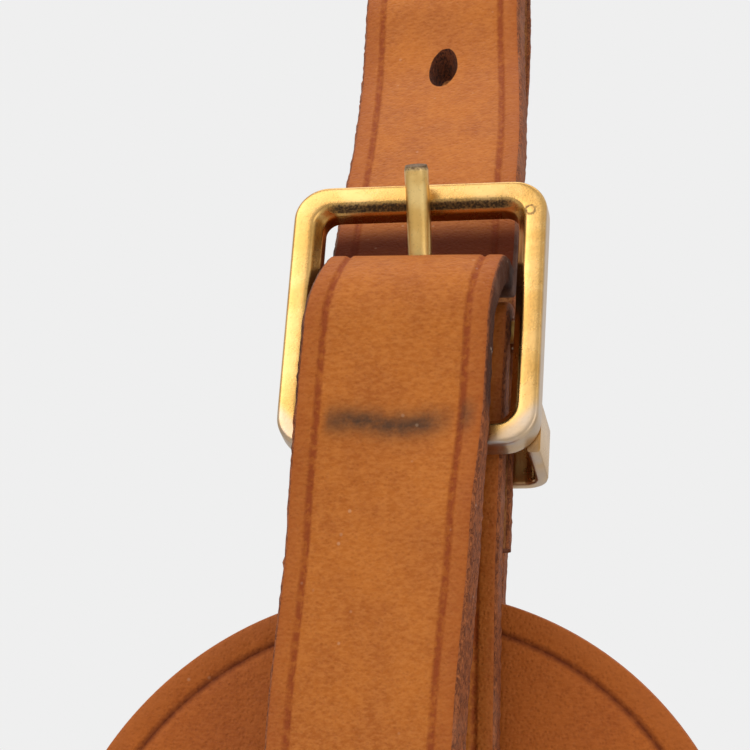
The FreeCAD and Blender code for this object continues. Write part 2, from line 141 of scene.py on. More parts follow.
def maskVertices(piece, **masks):
    # each named mask has one number for every vertex, which the materials read
    for name, values in masks.items():
        layer = piece.data.attributes.new(name, "FLOAT", "POINT")
        layer.data.foreach_set("value", list(values))


def boxCutter(name, size, middle, side, *materials):
    # a plain box to cut with; the walls it leaves get one of the materials
    work = bmesh.new()
    bmesh.ops.create_cube(work, size=1.0)
    bmesh.ops.scale(work, vec=size, verts=work.verts)
    bmesh.ops.translate(work, vec=middle, verts=work.verts)
    cutter = meshPiece(name, [], [])
    work.to_mesh(cutter.data)
    work.free()
    giveMaterials(cutter, *materials)
    for polygon in cutter.data.polygons:
        polygon.material_index = side
    return cutter


def cutWith(piece, cutter):
    cut = piece.modifiers.new("cut", "BOOLEAN")
    cut.operation = "DIFFERENCE"
    cut.solver = "EXACT"
    cut.object = cutter
    applyModifiers(piece)
    bpy.data.objects.remove(cutter, do_unlink=True)
    for polygon in piece.data.polygons:
        polygon.use_smooth = True


def creaseAngle(piece, degrees):
    piece.data.set_sharp_from_angle(angle=math.radians(degrees))


# shader node helpers


class Tree:
    def __init__(self, tree):
        self.tree = tree

    def add(self, kind, inputs=None, **settings):
        node = self.tree.nodes.new("ShaderNode" + kind)
        for key, value in settings.items():
            setattr(node, key, value)
        for key, value in (inputs or {}).items():
            self.feed(node.inputs[key], value)
        return node

    def feed(self, socket, value):
        if isinstance(value, bpy.types.NodeSocket):
            self.tree.links.new(value, socket)
        else:
            socket.default_value = value

    def maths(self, operation, a, b=0.0, c=None, clamp=False):
        inputs = {0: a, 1: b}
        if c is not None:
            inputs[2] = c
        return self.add("Math", inputs, operation=operation, use_clamp=clamp).outputs[0]

    def ramp(self, value, low, high, start=0.0, end=1.0):
        node = self.add("MapRange", {"Value": value, "From Min": low, "From Max": high,
                                     "To Min": start, "To Max": end}, interpolation_type="SMOOTHSTEP")
        return node.outputs[0]

    def blendColour(self, share, a, b):
        node = self.add("Mix", data_type="RGBA")
        self.feed(node.inputs[0], share)
        self.feed(node.inputs[6], a)
        self.feed(node.inputs[7], b)
        return node.outputs[2]

    def attribute(self, name):
        return self.add("Attribute", attribute_name=name).outputs["Fac"]


def nodeGroup(name, inputs, outputs):
    group = bpy.data.node_groups.new(name, "ShaderNodeTree")
    for kind, label, value in inputs:
        socket = group.interface.new_socket(label, in_out="INPUT", socket_type=kind)
        if value is not None:
            socket.default_value = value
    for kind, label in outputs:
        group.interface.new_socket(label, in_out="OUTPUT", socket_type=kind)
    work = Tree(group)
    source = group.nodes.new("NodeGroupInput")
    sink = group.nodes.new("NodeGroupOutput")
    return work, source.outputs, sink.inputs


number, vector = "NodeSocketFloat", "NodeSocketVector"


def leatherGrainGroup():
    # fine pores, soft creases and slow mottling of a vegetable-tanned hide
    work, given, put = nodeGroup(
        "leatherGrain",
        [(vector, "Vector", None), (number, "Pore Size", 0.5), (number, "Mottle Size", 9.0)],
        [(number, label) for label in ("Height", "Mottle", "Pores", "Scratches", "Flecks")])
    metre = 1000.0
    pores = work.add("TexVoronoi", {"Vector": given["Vector"],
                                    "Scale": work.maths("DIVIDE", metre, given["Pore Size"]),
                                    "Randomness": 1.0}, feature="SMOOTH_F1")
    pores.inputs["Smoothness"].default_value = 0.35
    poreMask = work.ramp(pores.outputs["Distance"], 0.12, 0.55)
    wrinkle = work.add("TexNoise", {"Vector": given["Vector"], "Scale": 1100.0, "Detail": 5.0,
                                    "Roughness": 0.62, "Distortion": 0.4})
    mottle = work.add("TexNoise", {"Vector": given["Vector"],
                                   "Scale": work.maths("DIVIDE", metre, given["Mottle Size"]),
                                   "Detail": 4.0, "Roughness": 0.6})
    stretched = work.add("Mapping", {"Vector": given["Vector"], "Scale": (220.0, 900.0, 90.0),
                                     "Rotation": (0.0, 0.3, 0.0)})
    scratch = work.add("TexNoise", {"Vector": stretched.outputs[0], "Scale": 1.0, "Detail": 3.0})
    fine = work.add("TexNoise", {"Vector": given["Vector"], "Scale": 4200.0, "Detail": 3.0})
    drawn = work.add("Mapping", {"Vector": given["Vector"], "Scale": (0.4, 1.0, 1.0)})
    fibre = work.add("TexNoise", {"Vector": drawn.outputs[0], "Scale": 3600.0, "Detail": 4.0,
                                  "Roughness": 0.65})
    height = work.maths("MULTIPLY_ADD", poreMask, 0.35, work.maths("MULTIPLY", wrinkle.outputs[0], 0.8))
    height = work.maths("MULTIPLY_ADD", fine.outputs[0], 0.5, height)
    work.feed(put["Height"], height)
    work.feed(put["Mottle"], work.ramp(mottle.outputs[0], 0.3, 0.7))
    work.feed(put["Pores"], work.maths("SUBTRACT", 1.0, poreMask))
    work.feed(put["Scratches"], work.ramp(scratch.outputs[0], 0.62, 0.72))
    flecks = work.maths("MULTIPLY", fibre.outputs[0], 0.8)
    flecks = work.maths("MULTIPLY_ADD", wrinkle.outputs[0], 0.2, flecks)
    work.feed(put["Flecks"], work.ramp(flecks, 0.36, 0.64))
    return work.tree


def fibreGroup():
    # ragged fibres of a cut edge or a flesh side
    work, given, put = nodeGroup(
        "leatherFibre", [(vector, "Vector", None), (number, "Fibre Size", 0.35)],
        [(number, "Height"), (number, "Shade")])
    stretch = work.add("Mapping", {"Vector": given["Vector"], "Scale": (1.0, 1.0, 0.45)})
    fibres = work.add("TexNoise", {"Vector": stretch.outputs[0],
                                   "Scale": work.maths("DIVIDE", 1000.0, given["Fibre Size"]),
                                   "Detail": 6.0, "Roughness": 0.7, "Distortion": 1.2})
    clumps = work.add("TexVoronoi", {"Vector": given["Vector"], "Scale": 900.0}, feature="F1")
    work.feed(put["Height"], work.maths("MULTIPLY_ADD", clumps.outputs["Distance"], 0.5,
                                        fibres.outputs[0]))
    work.feed(put["Shade"], work.ramp(fibres.outputs[0], 0.35, 0.68))
    return work.tree


def dustGroup():
    # sparse pale specks of lint and finish
    work, given, put = nodeGroup(
        "dustSpecks", [(vector, "Vector", None), (number, "Amount", 0.5)], [(number, "Mask")])
    specks = work.add("TexVoronoi", {"Vector": given["Vector"], "Scale": 620.0}, feature="F1")
    patch = work.add("TexNoise", {"Vector": given["Vector"], "Scale": 160.0, "Detail": 2.0})
    near = work.ramp(specks.outputs["Distance"], 0.13, 0.05)
    work.feed(put["Mask"], work.maths("MULTIPLY", work.maths("MULTIPLY", near, given["Amount"]),
                                      work.ramp(patch.outputs[0], 0.52, 0.66)))
    return work.tree


leatherGrain, leatherFibre, dustSpecks = leatherGrainGroup(), fibreGroup(), dustGroup()


def newMaterial(name):
    material = bpy.data.materials.new(name)
    material.use_nodes = True
    work = Tree(material.node_tree)
    return material, work, material.node_tree.nodes["Principled BSDF"]


def grouped(work, group, **inputs):
    node = work.tree.nodes.new("ShaderNodeGroup")
    node.node_tree = group
    for label, value in inputs.items():
        work.feed(node.inputs[label.replace("_", " ")], value)
    return node.outputs


def objectPlace(work):
    return work.add("TexCoord").outputs["Object"]


def grainLeather(name, look):
    # the smooth grain side; attributes carry the creases, the darker rim, the stains and the painted shadow
    material, work, shader = newMaterial(name)
    place = objectPlace(work)
    grain = grouped(work, leatherGrain, Vector=place, Pore_Size=look["poreSize"],
                    Mottle_Size=look["mottleSize"])
    tone = work.blendColour(grain["Mottle"], srgb(*look["shade"]), srgb(*look["light"]))
    flecks = work.maths("MULTIPLY", grain["Flecks"], look["fleck"])
    tone = work.blendColour(flecks, tone, srgb(*look["bright"]))
    tone = work.blendColour(work.maths("MULTIPLY", grain["Pores"], look["poreDark"]), tone,
                            srgb(*look["crease"]))
    tone = work.blendColour(work.maths("MULTIPLY", grain["Scratches"], 0.18), tone, srgb(*look["light"]))
    crease = work.attribute("crease")
    breakUp = work.add("TexNoise", {"Vector": place, "Scale": 1500.0, "Detail": 3.0}).outputs[0]
    broken = work.maths("MULTIPLY", crease, work.ramp(breakUp, 0.36, 0.58, look["creaseBreak"], 1.0))
    tone = work.blendColour(work.maths("MULTIPLY", broken, look["creaseDark"]), tone, srgb(*look["crease"]))
    rim = work.attribute("rim")
    tone = work.blendColour(work.maths("MULTIPLY", rim, look["rimDark"]), tone, srgb(*look["rim"]))
    stain = work.attribute("stain")
    cloudy = work.add("TexNoise", {"Vector": place, "Scale": 420.0, "Detail": 6.0, "Roughness": 0.7})
    smudge = work.maths("MULTIPLY", stain, work.ramp(cloudy.outputs[0], 0.3, 0.6, 0.6, 1.0), clamp=True)
    tone = work.blendColour(smudge, tone, srgb(*look["stain"]))
    # painted shadow where the strap lies in the buckle's shade; its specular is taken down there too
    shadow = work.maths("MULTIPLY", work.attribute("shadow"), 0.92)
    tone = work.blendColour(shadow, tone, srgb(*look["shadow"]))
    specks = grouped(work, dustSpecks, Vector=place, Amount=look["dust"])["Mask"]
    tone = work.blendColour(specks, tone, srgb(226, 196, 164))
    work.feed(shader.inputs["Base Color"], tone)
    rough = work.maths("MULTIPLY_ADD", grain["Mottle"], 0.08, look["roughness"])
    work.feed(shader.inputs["Roughness"], work.maths("MULTIPLY_ADD", crease, 0.12, rough))
    specular = work.maths("MULTIPLY_ADD", shadow, -look["specular"], look["specular"])
    work.feed(shader.inputs["Specular IOR Level"], specular)
    shader.inputs["Coat Weight"].default_value = look["coat"]
    shader.inputs["Coat Roughness"].default_value = 0.42
    bump = work.add("Bump", {"Height": grain["Height"], "Strength": look["bump"], "Distance": 0.00012})
    work.feed(shader.inputs["Normal"], bump.outputs[0])
    return material


def cutLeather(name, look):
    # raw cut edges, and the flesh side
    material, work, shader = newMaterial(name)
    place = objectPlace(work)
    fibre = grouped(work, leatherFibre, Vector=place, Fibre_Size=look["fibreSize"])
    tone = work.blendColour(fibre["Shade"], srgb(*look["dark"]), srgb(*look["light"]))
    # painted shadow on the cut edges and flesh side in the buckle's shade
    shadow = work.maths("MULTIPLY", work.attribute("shadow"), 0.85)
    tone = work.blendColour(shadow, tone, srgb(*look["shadow"]))
    # patches of painted sheen, a greyish shine of light on the fibres
    band = work.add("TexNoise", {"Vector": place, "Scale": 240.0, "Detail": 3.0}).outputs[0]
    tone = work.blendColour(work.ramp(band, 0.5, 0.72, 0.0, look["paintedSheenAmount"]), tone, srgb(*look["paintedSheen"]))
    specks = grouped(work, dustSpecks, Vector=place, Amount=look["dust"])["Mask"]
    tone = work.blendColour(specks, tone, srgb(232, 210, 188))
    work.feed(shader.inputs["Base Color"], tone)
    shader.inputs["Roughness"].default_value = look["roughness"]
    shader.inputs["Specular IOR Level"].default_value = 0.3
    bump = work.add("Bump", {"Height": fibre["Height"], "Strength": look["bump"], "Distance": 0.00025})
    work.feed(shader.inputs["Normal"], bump.outputs[0])
    return material


def giltMetal(name, look):
    # gold plate with fine speckle and hairlines; silver for abraded plating and a painted highlight, dark for
    # dirty pits and painted dark reflections
    material, work, shader = newMaterial(name)
    place = objectPlace(work)
    speckle = work.add("TexNoise", {"Vector": place, "Scale": 5200.0, "Detail": 3.0}).outputs[0]
    cloud = work.add("TexNoise", {"Vector": place, "Scale": 260.0, "Detail": 4.0,
                                  "Roughness": 0.6}).outputs[0]
    hair = work.add("Mapping", {"Vector": place, "Scale": (300.0, 2600.0, 2600.0)}).outputs[0]
    lines = work.add("TexNoise", {"Vector": hair, "Scale": 1.0, "Detail": 2.0}).outputs[0]
    gold = work.blendColour(work.ramp(cloud, 0.35, 0.7), srgb(*look["deep"]), srgb(*look["light"]))
    gold = work.blendColour(work.ramp(speckle, 0.58, 0.75, 0.0, 0.25), gold, srgb(*look["dirt"]))
    # silver for abraded plating and for the painted highlight on the frame's lower front edge
    wornAndLit = work.maths("MULTIPLY", work.attribute("wear"), work.ramp(cloud, 0.25, 0.5, 0.6, 1.0), clamp=True)
    tone = work.blendColour(wornAndLit, gold, srgb(*look["wornAndLit"]))
    # dirty speckle, plus the attribute's dirty pits and painted dark reflections of the shaded leather, which
    # also take the metal's shine away
    grimeAndShade = work.maths("MULTIPLY_ADD", work.attribute("dirt"), 1.1, work.maths("MULTIPLY", speckle, 0.9))
    dirt = work.ramp(grimeAndShade, 0.85, 1.5)
    tone = work.blendColour(dirt, tone, srgb(*look["dirt"]))
    work.feed(shader.inputs["Base Color"], tone)
    work.feed(shader.inputs["Metallic"], work.maths("MULTIPLY_ADD", dirt, -0.6, 1.0))
    rough = work.maths("MULTIPLY_ADD", wornAndLit, 0.12, work.maths("MULTIPLY_ADD", cloud, 0.10, look["roughness"]))
    work.feed(shader.inputs["Roughness"], work.maths("MULTIPLY_ADD", dirt, 0.3, rough))
    relief = work.maths("MULTIPLY_ADD", speckle, 0.5, work.maths("MULTIPLY", lines, 0.5))
    bump = work.add("Bump", {"Height": relief, "Strength": look["bump"], "Distance": 0.00002})
    work.feed(shader.inputs["Normal"], bump.outputs[0])
    return material


hide = dict(
    poreSize=0.36, poreDark=0.12, fleck=0.38, rimDark=0.6, roughness=0.58, specular=0.16, coat=0.04, bump=0.8)
strapGrain = grainLeather("strapGrain", dict(
    hide, light=(174, 96, 28), shade=(158, 82, 20), bright=(204, 128, 60), crease=(130, 52, 18),
    rim=(144, 66, 22), stain=(74, 48, 30), shadow=(78, 24, 4), mottleSize=5.0, creaseDark=0.8,
    creaseBreak=0.3, dust=0.2))
tagGrain = grainLeather("tagGrain", dict(
    hide, light=(160, 81, 20), shade=(148, 71, 14), bright=(184, 102, 42), crease=(92, 34, 8),
    rim=(160, 84, 28), stain=(110, 62, 36), shadow=(92, 34, 8), mottleSize=9.0, creaseDark=0.9,
    creaseBreak=0.75, dust=0.15))
cutEdge = cutLeather("cutEdge", dict(
    light=(178, 100, 52), dark=(96, 46, 20), paintedSheen=(166, 118, 92), paintedSheenAmount=0.3, dust=2.5,
    shadow=(58, 24, 8), fibreSize=0.30, roughness=0.8, bump=1.0))
fleshSide = cutLeather("fleshSide", dict(
    light=(176, 116, 66), dark=(126, 72, 34), paintedSheen=(170, 122, 84), paintedSheenAmount=0.3, dust=0.4,
    shadow=(58, 24, 8), fibreSize=0.45, roughness=0.9, bump=0.6))
# the walls of the punched holes: a cut edge painted much darker, painted shade inside the holes
shadedHoleWall = cutLeather("shadedHoleWall", dict(
    light=(124, 62, 30), dark=(40, 16, 6), paintedSheen=(86, 46, 26), paintedSheenAmount=0.5, dust=0.2, shadow=(30, 12, 4),
    fibreSize=0.28, roughness=0.9, bump=1.0))
gilt = giltMetal("gilt", dict(
    light=(206, 166, 104), deep=(186, 143, 78), wornAndLit=(182, 174, 168), dirt=(48, 32, 10),
    roughness=0.22, bump=0.7))

# strap
strapSize = dict(
    width=15.0, thick=2.6, skived=1.5, lean=5.0, backLean=8.0, loopLean=33.0, flare=24.0,
    flareRadius=24.0, loopRadius=9.0, backRise=43.0, backBend=30.0, archRadius=4.9, archRise=10.0,
    kneeRadius=3.6, tailLean=5.0, tailLength=46.0, tailPoint=5.0, tailBlunt=0.42, returnLength=19.0,
    taper=5.0, swivelRadius=2.1, barWrap=1.1, foldGap=0.5, archClear=0.4, lay=0.15, frameRise=39.2, step=0.5,
    edgeRound=0.45, creaseInset=1.8, creaseDepth=0.20, creaseHalf=0.40, edgeRough=0.16,
    holePitch=34.5, holeWide=2.8, holeLong=5.6, holePoints=28, holeDrift=0.15, eyeSlot=(3.4, 7.0, 5.2))
frameSize = dict(
    width=22.4, height=25.2, thick=2.6, bar=2.6, corner=3.0, innerCorner=1.3, tilt=8.0, barRecess=3.1,
    barRadius=1.0, lugHeight=3.4, lugCover=0.8, lugRound=0.45, ease=0.7, cornerSteps=10, sideSteps=10)
tongueSize = dict(
    radius=1.05, over=0.2, start=1.5, bow=0.6, holeStart=2.8, holeDeep=6.0, pathSteps=32, eyeSteps=36)
frameUp = turned(90.0 - frameSize["tilt"])
frameOut = turned(180.0 - frameSize["tilt"])
frameCentre = barCentre + frameOut * (frameSize["barRecess"] * mm)


def framePoint(across, up, out):
    return frameCentre + Vector((across * mm, 0, 0)) + frameUp * (up * mm) + frameOut * (out * mm)


class Course:
    # the flesh side of the leather as seen from the side, in millimetres from the swivel
    def __init__(self, point, heading, grain, thick):
        self.point, self.heading, self.grain, self.thick = point, heading, grain, thick
        self.samples = []
        self.length = 0.0

    def keep(self, point, heading, thick, distance):
        self.samples.append((point.copy(), heading, thick, distance))

    def run(self, length, thick=None):
        last = self.thick if thick is None else thick
        steps = max(1, round(length / strapSize["step"]))
        for index in range(steps):
            share = index / steps
            self.keep(self.point + turned(self.heading) * (length * share), self.heading,
                      mixed(self.thick, last, share), self.length + length * share)
        self.point = self.point + turned(self.heading) * length
        self.thick = last
        self.length += length

    def bend(self, radius, angle):
        way = math.copysign(1.0, angle)
        centre = self.point + turned(self.heading + 90.0 * way) * radius
        reach = radius + (self.thick if way != self.grain else 0.0)
        steps = max(6, round(math.radians(abs(angle)) * reach / strapSize["step"]))
        for index in range(steps):
            turn = angle * index / steps
            spoke = turned(self.heading + turn - 90.0 * way) * radius
            self.keep(centre + spoke, self.heading + turn, self.thick,
                      self.length + radius * math.radians(abs(turn)))
        self.heading += angle
        self.point = centre + turned(self.heading - 90.0 * way) * radius
        self.length += radius * math.radians(abs(angle))

    def end(self):
        self.keep(self.point, self.heading, self.thick, self.length)


def bendEnd(point, heading, radius, angle):
    way = math.copysign(1.0, angle)
    centre = point + turned(heading + 90.0 * way) * radius
    return centre + turned(heading + angle - 90.0 * way) * radius, heading + angle


def strapCourses():
    s = strapSize
    start = Vector((0, 0, -s["swivelRadius"]))
    front = Course(start, 180.0, 1.0, s["thick"])
    front.bend(s["swivelRadius"], -(90.0 - s["lean"]))
    front.run(s["frameRise"] - s["taper"])
    front.run(s["taper"], s["skived"])
    closing = math.degrees(math.asin((2 * s["barWrap"] - s["foldGap"]) / s["returnLength"]))
    marks = {"bar": front.length}
    front.bend(s["barWrap"], -180.0 - closing)
    front.run(s["returnLength"])
    front.end()
    # the far end of the back branch lies on the buckle, so it is worked out from there
    bar = (barCentre - swivel) / mm
    middle = (frameCentre - swivel) / mm
    tailHeading, archHeading = 270.0 + s["tailLean"], 180.0 - s["archRise"]
    downHeading = 270.0 - s["loopLean"]
    lip = middle + frameOut * (frameSize["thick"] / 2 + s["lay"]) \
        - frameUp * (frameSize["height"] / 2 - frameSize["ease"])
    foldTop = bar.z + s["barWrap"] + s["skived"] + s["archClear"]
    share = (foldTop - s["archRadius"] - lip.z) / turned(tailHeading).z
    archCentre = lip + turned(tailHeading) * share + turned(tailHeading + 90.0) * s["archRadius"]
    archStart = archCentre - turned(archHeading + 90.0) * s["archRadius"]
    kneeCentre = archStart + turned(archHeading - 90.0) * s["kneeRadius"]
    kneeStart = kneeCentre - turned(downHeading - 90.0) * s["kneeRadius"]
    back = Course(start, 0.0, -1.0, s["thick"])
    back.bend(s["swivelRadius"], 90.0 - s["backLean"])
    back.run(s["backRise"])
    back.bend(s["backBend"], -(s["loopLean"] - s["backLean"]))
    back.bend(s["flareRadius"], -s["flare"])
    point, heading = bendEnd(back.point, back.heading, s["loopRadius"], 180.0 + 2 * s["flare"])
    point, heading = bendEnd(point, heading, s["flareRadius"], -s["flare"])
    gap, first, last = kneeStart - point, turned(back.heading), turned(downHeading)
    area = first.y * last.z - first.z * last.y
    back.run((gap.y * last.z - gap.z * last.y) / area)
    marks["loop"] = back.length
    back.bend(s["loopRadius"], 180.0 + 2 * s["flare"])
    marks["loopEnd"] = back.length
    back.bend(s["flareRadius"], -s["flare"])
    back.run((first.y * gap.z - first.z * gap.y) / area)
    marks["knee"] = back.length
    back.bend(s["kneeRadius"], -(downHeading - archHeading))
    marks["arch"] = back.length
    back.bend(s["archRadius"], tailHeading - archHeading)
    marks["tail"] = back.length
    back.run(s["tailLength"])
    back.end()
    return front, back, marks


frontCourse, backCourse, marks = strapCourses()

# along the strap: (distance, across in mm, twist in degrees, width as a share of its usual width);
# distances are negative on the front branch, which ends turned back over the centre bar
strapDrift = [
    (-frontCourse.length, 0.5, 0.0, 1.0), (-marks["bar"], 0.5, 0.0, 1.0), (-20.0, 0.0, 0.0, 1.0),
    (0.0, 0.0, 0.0, 1.0), (12.0, -1.2, 0.0, 1.0), (57.0, -1.4, 0.0, 1.0), (marks["loop"], -6.0, 4.0, 1.04),
    (marks["loopEnd"], -2.7, 5.0, 1.04), (marks["knee"] - 16.0, -1.0, 5.0, 1.09),
    (marks["knee"], -0.25, -1.0, 1.1), (marks["arch"] + 4.0, 0.35, -1.0, 1.02),
    (marks["tail"], -0.5, -2.5, 1.06), (marks["tail"] + 6.0, -0.8, -2.0, 1.07),
    (marks["tail"] + 17.0, -1.35, 9.0, 1.09),
    (marks["tail"] + 34.0, -2.5, 13.0, 1.13), (marks["tail"] + 46.0, -3.3, 13.0, 1.13)]


scuffSize = dict(below=8.7, spread=1.15)


def drift(distance):
    # how far the strap has crept across, twisted and spread at a distance along it
    for low, high in zip(strapDrift, strapDrift[1:]):
        if distance <= high[0]:
            share = smooth(low[0], high[0], distance) * 0.5 + 0.5 * (distance - low[0]) / (high[0] - low[0])
            return [mixed(low[k], high[k], share) for k in (1, 2, 3)]
    return strapDrift[-1][1:]


def strapSection(thick):
    # (across, height, kind) round the section: flesh side, cut edge, grain side, cut edge
    s = strapSize
    half, bow = s["width"] / 2, s["edgeRound"]
    small = 0.3
    right = [(half - small, 0.0, "flesh"), (half - 0.08, 0.08, "edge")]
    right += [(half, mixed(0.25, thick - bow, step / 3), "edge") for step in range(4)]
    right += [(half - bow * (1 - math.cos(math.radians(a))), thick - bow * (1 - math.sin(math.radians(a))),
               "edge" if a < 40 else "grain") for a in (30, 60, 90)]
    middle = half - s["creaseInset"]
    wide, deep = s["creaseHalf"], s["creaseDepth"]
    profile = [(1.0, 0.0), (0.72, 0.16), (0.42, 0.62), (0.0, 1.0), (-0.42, 0.62), (-0.72, 0.16), (-1.0, 0.0)]
    right += [(middle + wide * across, thick - deep * low, "grain") for across, low in profile]
    grain = [(middle * share, thick, "grain") for share in (0.82, 0.55, 0.28, 0.0)]
    left = [(-x, height, kind) for x, height, kind in right[::-1]]
    rest = [(-x, height, kind) for x, height, kind in grain[:-1][::-1]]
    flesh = [(-half * 0.6, 0.0, "flesh"), (0.0, 0.0, "flesh"), (half * 0.6, 0.0, "flesh")]
    return right + grain + rest + left + flesh


def makeStrap():
    # the section is carried along both branches; its cut edges waver a little
    s = strapSize
    rows = [(p, h, t, -d, frontCourse.grain) for p, h, t, d in frontCourse.samples[::-1]]
    rows += [(p, h, t, d, backCourse.grain) for p, h, t, d in backCourse.samples[1:]]
    rings, masks = [], []
    for point, heading, thick, distance, grain in rows:
        across, twist, width = drift(distance)
        side = turned(heading + 90.0 * grain)
        middle = Vector((across, 0, 0)) + point + side * (thick / 2)
        toEnd = backCourse.length - distance
        if toEnd < s["tailPoint"]:
            width *= mixed(s["tailBlunt"], 1.0, math.sin(math.pi / 2 * toEnd / s["tailPoint"]))
        roll = Matrix.Rotation(math.radians(twist), 3, turned(heading))
        ring, mask = [], []
        for x, height, kind in strapSection(thick):
            spot = Vector((x * width, 0, 0)) + side * (height - thick / 2)
            spot = middle + roll @ spot
            seed = Vector((x * 0.35 + 3.0, distance * 0.9, height * 2.0))
            if kind == "edge":
                rough = noise.noise(seed * 1.4) + 0.6 * noise.noise(seed * 3.7)
                spot.x += math.copysign(s["edgeRough"] * rough, x)
            spot += side * (0.05 * noise.noise(Vector((x * 0.16, distance * 0.11, 5.0))))
            ring.append(swivel + spot * mm)
            inset = s["width"] / 2 - abs(x)
            crease = smooth(s["creaseHalf"] * 1.15, 0.1, abs(inset - s["creaseInset"]))
            rim = 0.45 * smooth(2.2, 1.7, inset) + 0.55 * smooth(0.9, 0.0, inset)
            mask.append((crease, rim, stainAt(x, distance), shadowAt(distance, kind)))
        rings.append(ring)
        masks += mask
    piece = loft("strapBody", rings)
    kinds = [place[2] for place in strapSection(s["thick"])]
    around = len(kinds)
    giveMaterials(piece, strapGrain, cutEdge, fleshSide, shadedHoleWall)
    index = {"grain": 0, "edge": 1, "flesh": 2}
    for polygon in piece.data.polygons:
        spots = sorted(v % around for v in polygon.vertices)
        first = around - 1 if spots[0] == 0 and spots[-1] == around - 1 else spots[0]
        kind = kinds[first] if kinds[first] == kinds[(first + 1) % around] else "edge"
        polygon.material_index = index[kind] if len(polygon.vertices) == 4 else 1
    maskVertices(piece, **dict(zip(("crease", "rim", "stain", "shadow"), zip(*masks))))
    outward(piece)
    return piece


def shadowAt(distance, kind):
    # painted shadow on the leather where it is drawn through the buckle, reaching furthest along its cut
    # edges and flesh side
    last = marks["arch"] + 2.0 if kind == "grain" else marks["tail"] + 9.0
    return smooth(marks["knee"] - 8.5, marks["knee"] - 3.5, distance) * smooth(last, last - 3.0, distance)


def stainAt(x, distance):
    # the dark scuff across the tail, where it has chafed against the frame
    if distance <= marks["tail"]:
        return 0.0
    reach = smooth(-5.6, -4.2, x) * smooth(5.0, 4.2, x) + 0.8 * smooth(5.4, 5.8, x) * smooth(7.0, 6.4, x)
    wander = 0.35 * math.sin(x * 0.7 + 0.6) + 0.25 * math.sin(x * 1.9)
    low = distance - marks["tail"] - scuffSize["below"] - wander
    return reach * math.exp(-(low / scuffSize["spread"]) ** 2)


def ovalCutter(start, heading, depth, across=0.0, shares=(1.0, 1.0)):
    # an oval hole through the leather, its two ends each a share of the punch's size
    s = strapSize
    along = turned(heading + 90.0)
    rings = []
    for reach, share in zip((0.0, depth), shares):
        ring = []
        wide, long = s["holeWide"] / 2 * share, s["holeLong"] / 2 * share
        for step in range(s["holePoints"]):
            angle = 2 * math.pi * step / s["holePoints"]
            rough = 1.0 + 0.03 * noise.noise(Vector((angle * 3, reach, 2.0)))
            spot = start + turned(heading) * reach + along * (long * math.cos(angle) * rough)
            ring.append(swivel + (spot + Vector((across + wide * math.sin(angle) * rough, 0, 0))) * mm)
        rings.append(ring)
    cutter = loft("holeCutter", rings)
    giveMaterials(cutter, strapGrain, cutEdge, fleshSide, shadedHoleWall)
    for polygon in cutter.data.polygons:
        polygon.material_index = 3
    outward(cutter)
    return cutter


def courseAt(course, distance):
    return min(course.samples, key=lambda sample: abs(sample[3] - distance))


strap = makeStrap()
tongueHeading = 90.0 - frameSize["tilt"] + math.degrees(math.atan2(
    frameSize["thick"] / 2 + frameSize["barRecess"] + tongueSize["radius"] + strapSize["lay"],
    frameSize["height"] / 2 - frameSize["bar"]))
tongueHole = ovalCutter((barCentre - swivel) / mm + turned(tongueHeading) * tongueSize["holeStart"],
                        tongueHeading, tongueSize["holeDeep"])
cutWith(strap, tongueHole)
kneeHole = (marks["knee"] + marks["arch"]) / 2
point, heading, thick, distance = courseAt(backCourse, kneeHole - strapSize["holePitch"])
spareHole = ovalCutter(point - turned(heading - 90.0), heading - 90.0, thick + 2.0,
                       drift(distance)[0] + strapSize["holeDrift"], (0.3, 1.18))
cutWith(strap, spareHole)
cutWith(strap, boxCutter("eyeSlot", Vector(strapSize["eyeSlot"]) * mm, barCentre, 1, strapGrain, cutEdge))
creaseAngle(strap, 50)
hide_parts("strap")
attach(strap, "root")
print("strap", len(strap.data.polygons), "faces")


# buckle frame


def frameRing(inset, out):
    # a rounded rectangle a given distance inside the outer edge
    f = frameSize
    share = inset / f["bar"]
    radius = mixed(f["corner"], f["innerCorner"], share)
    halfWide, halfHigh = f["width"] / 2 - inset, f["height"] / 2 - inset
    ring = []
    quarters = [(1, 1), (-1, 1), (-1, -1), (1, -1)]
    for corner, (sx, sy) in enumerate(quarters):
        cx, cy = sx * (halfWide - radius), sy * (halfHigh - radius)
        for step in range(f["cornerSteps"] + 1):
            angle = math.radians(90.0 * corner + 90.0 * step / f["cornerSteps"])
            ring.append((cx + radius * math.cos(angle), cy + radius * math.sin(angle)))
        nx, ny = quarters[(corner + 1) % 4]
        lastX, lastY = ring[-1]
        nextX = nx * halfWide if corner % 2 else nx * (halfWide - radius)
        nextY = ny * (halfHigh - radius) if corner % 2 else ny * halfHigh
        for step in range(1, f["sideSteps"]):
            part = step / f["sideSteps"]
            ring.append((mixed(lastX, nextX, part), mixed(lastY, nextY, part)))
    return [framePoint(x, y, out) for x, y in ring]


# the dimple is a dirty pit; the bevel shade marks bound the painted dark reflection across the top bar
frameMarks = dict(dimpleAcross=9.75, dimpleUp=9.6, dimpleRadius=0.48, bevelShadeReach=7.2, bevelShadeEnd=9.6)


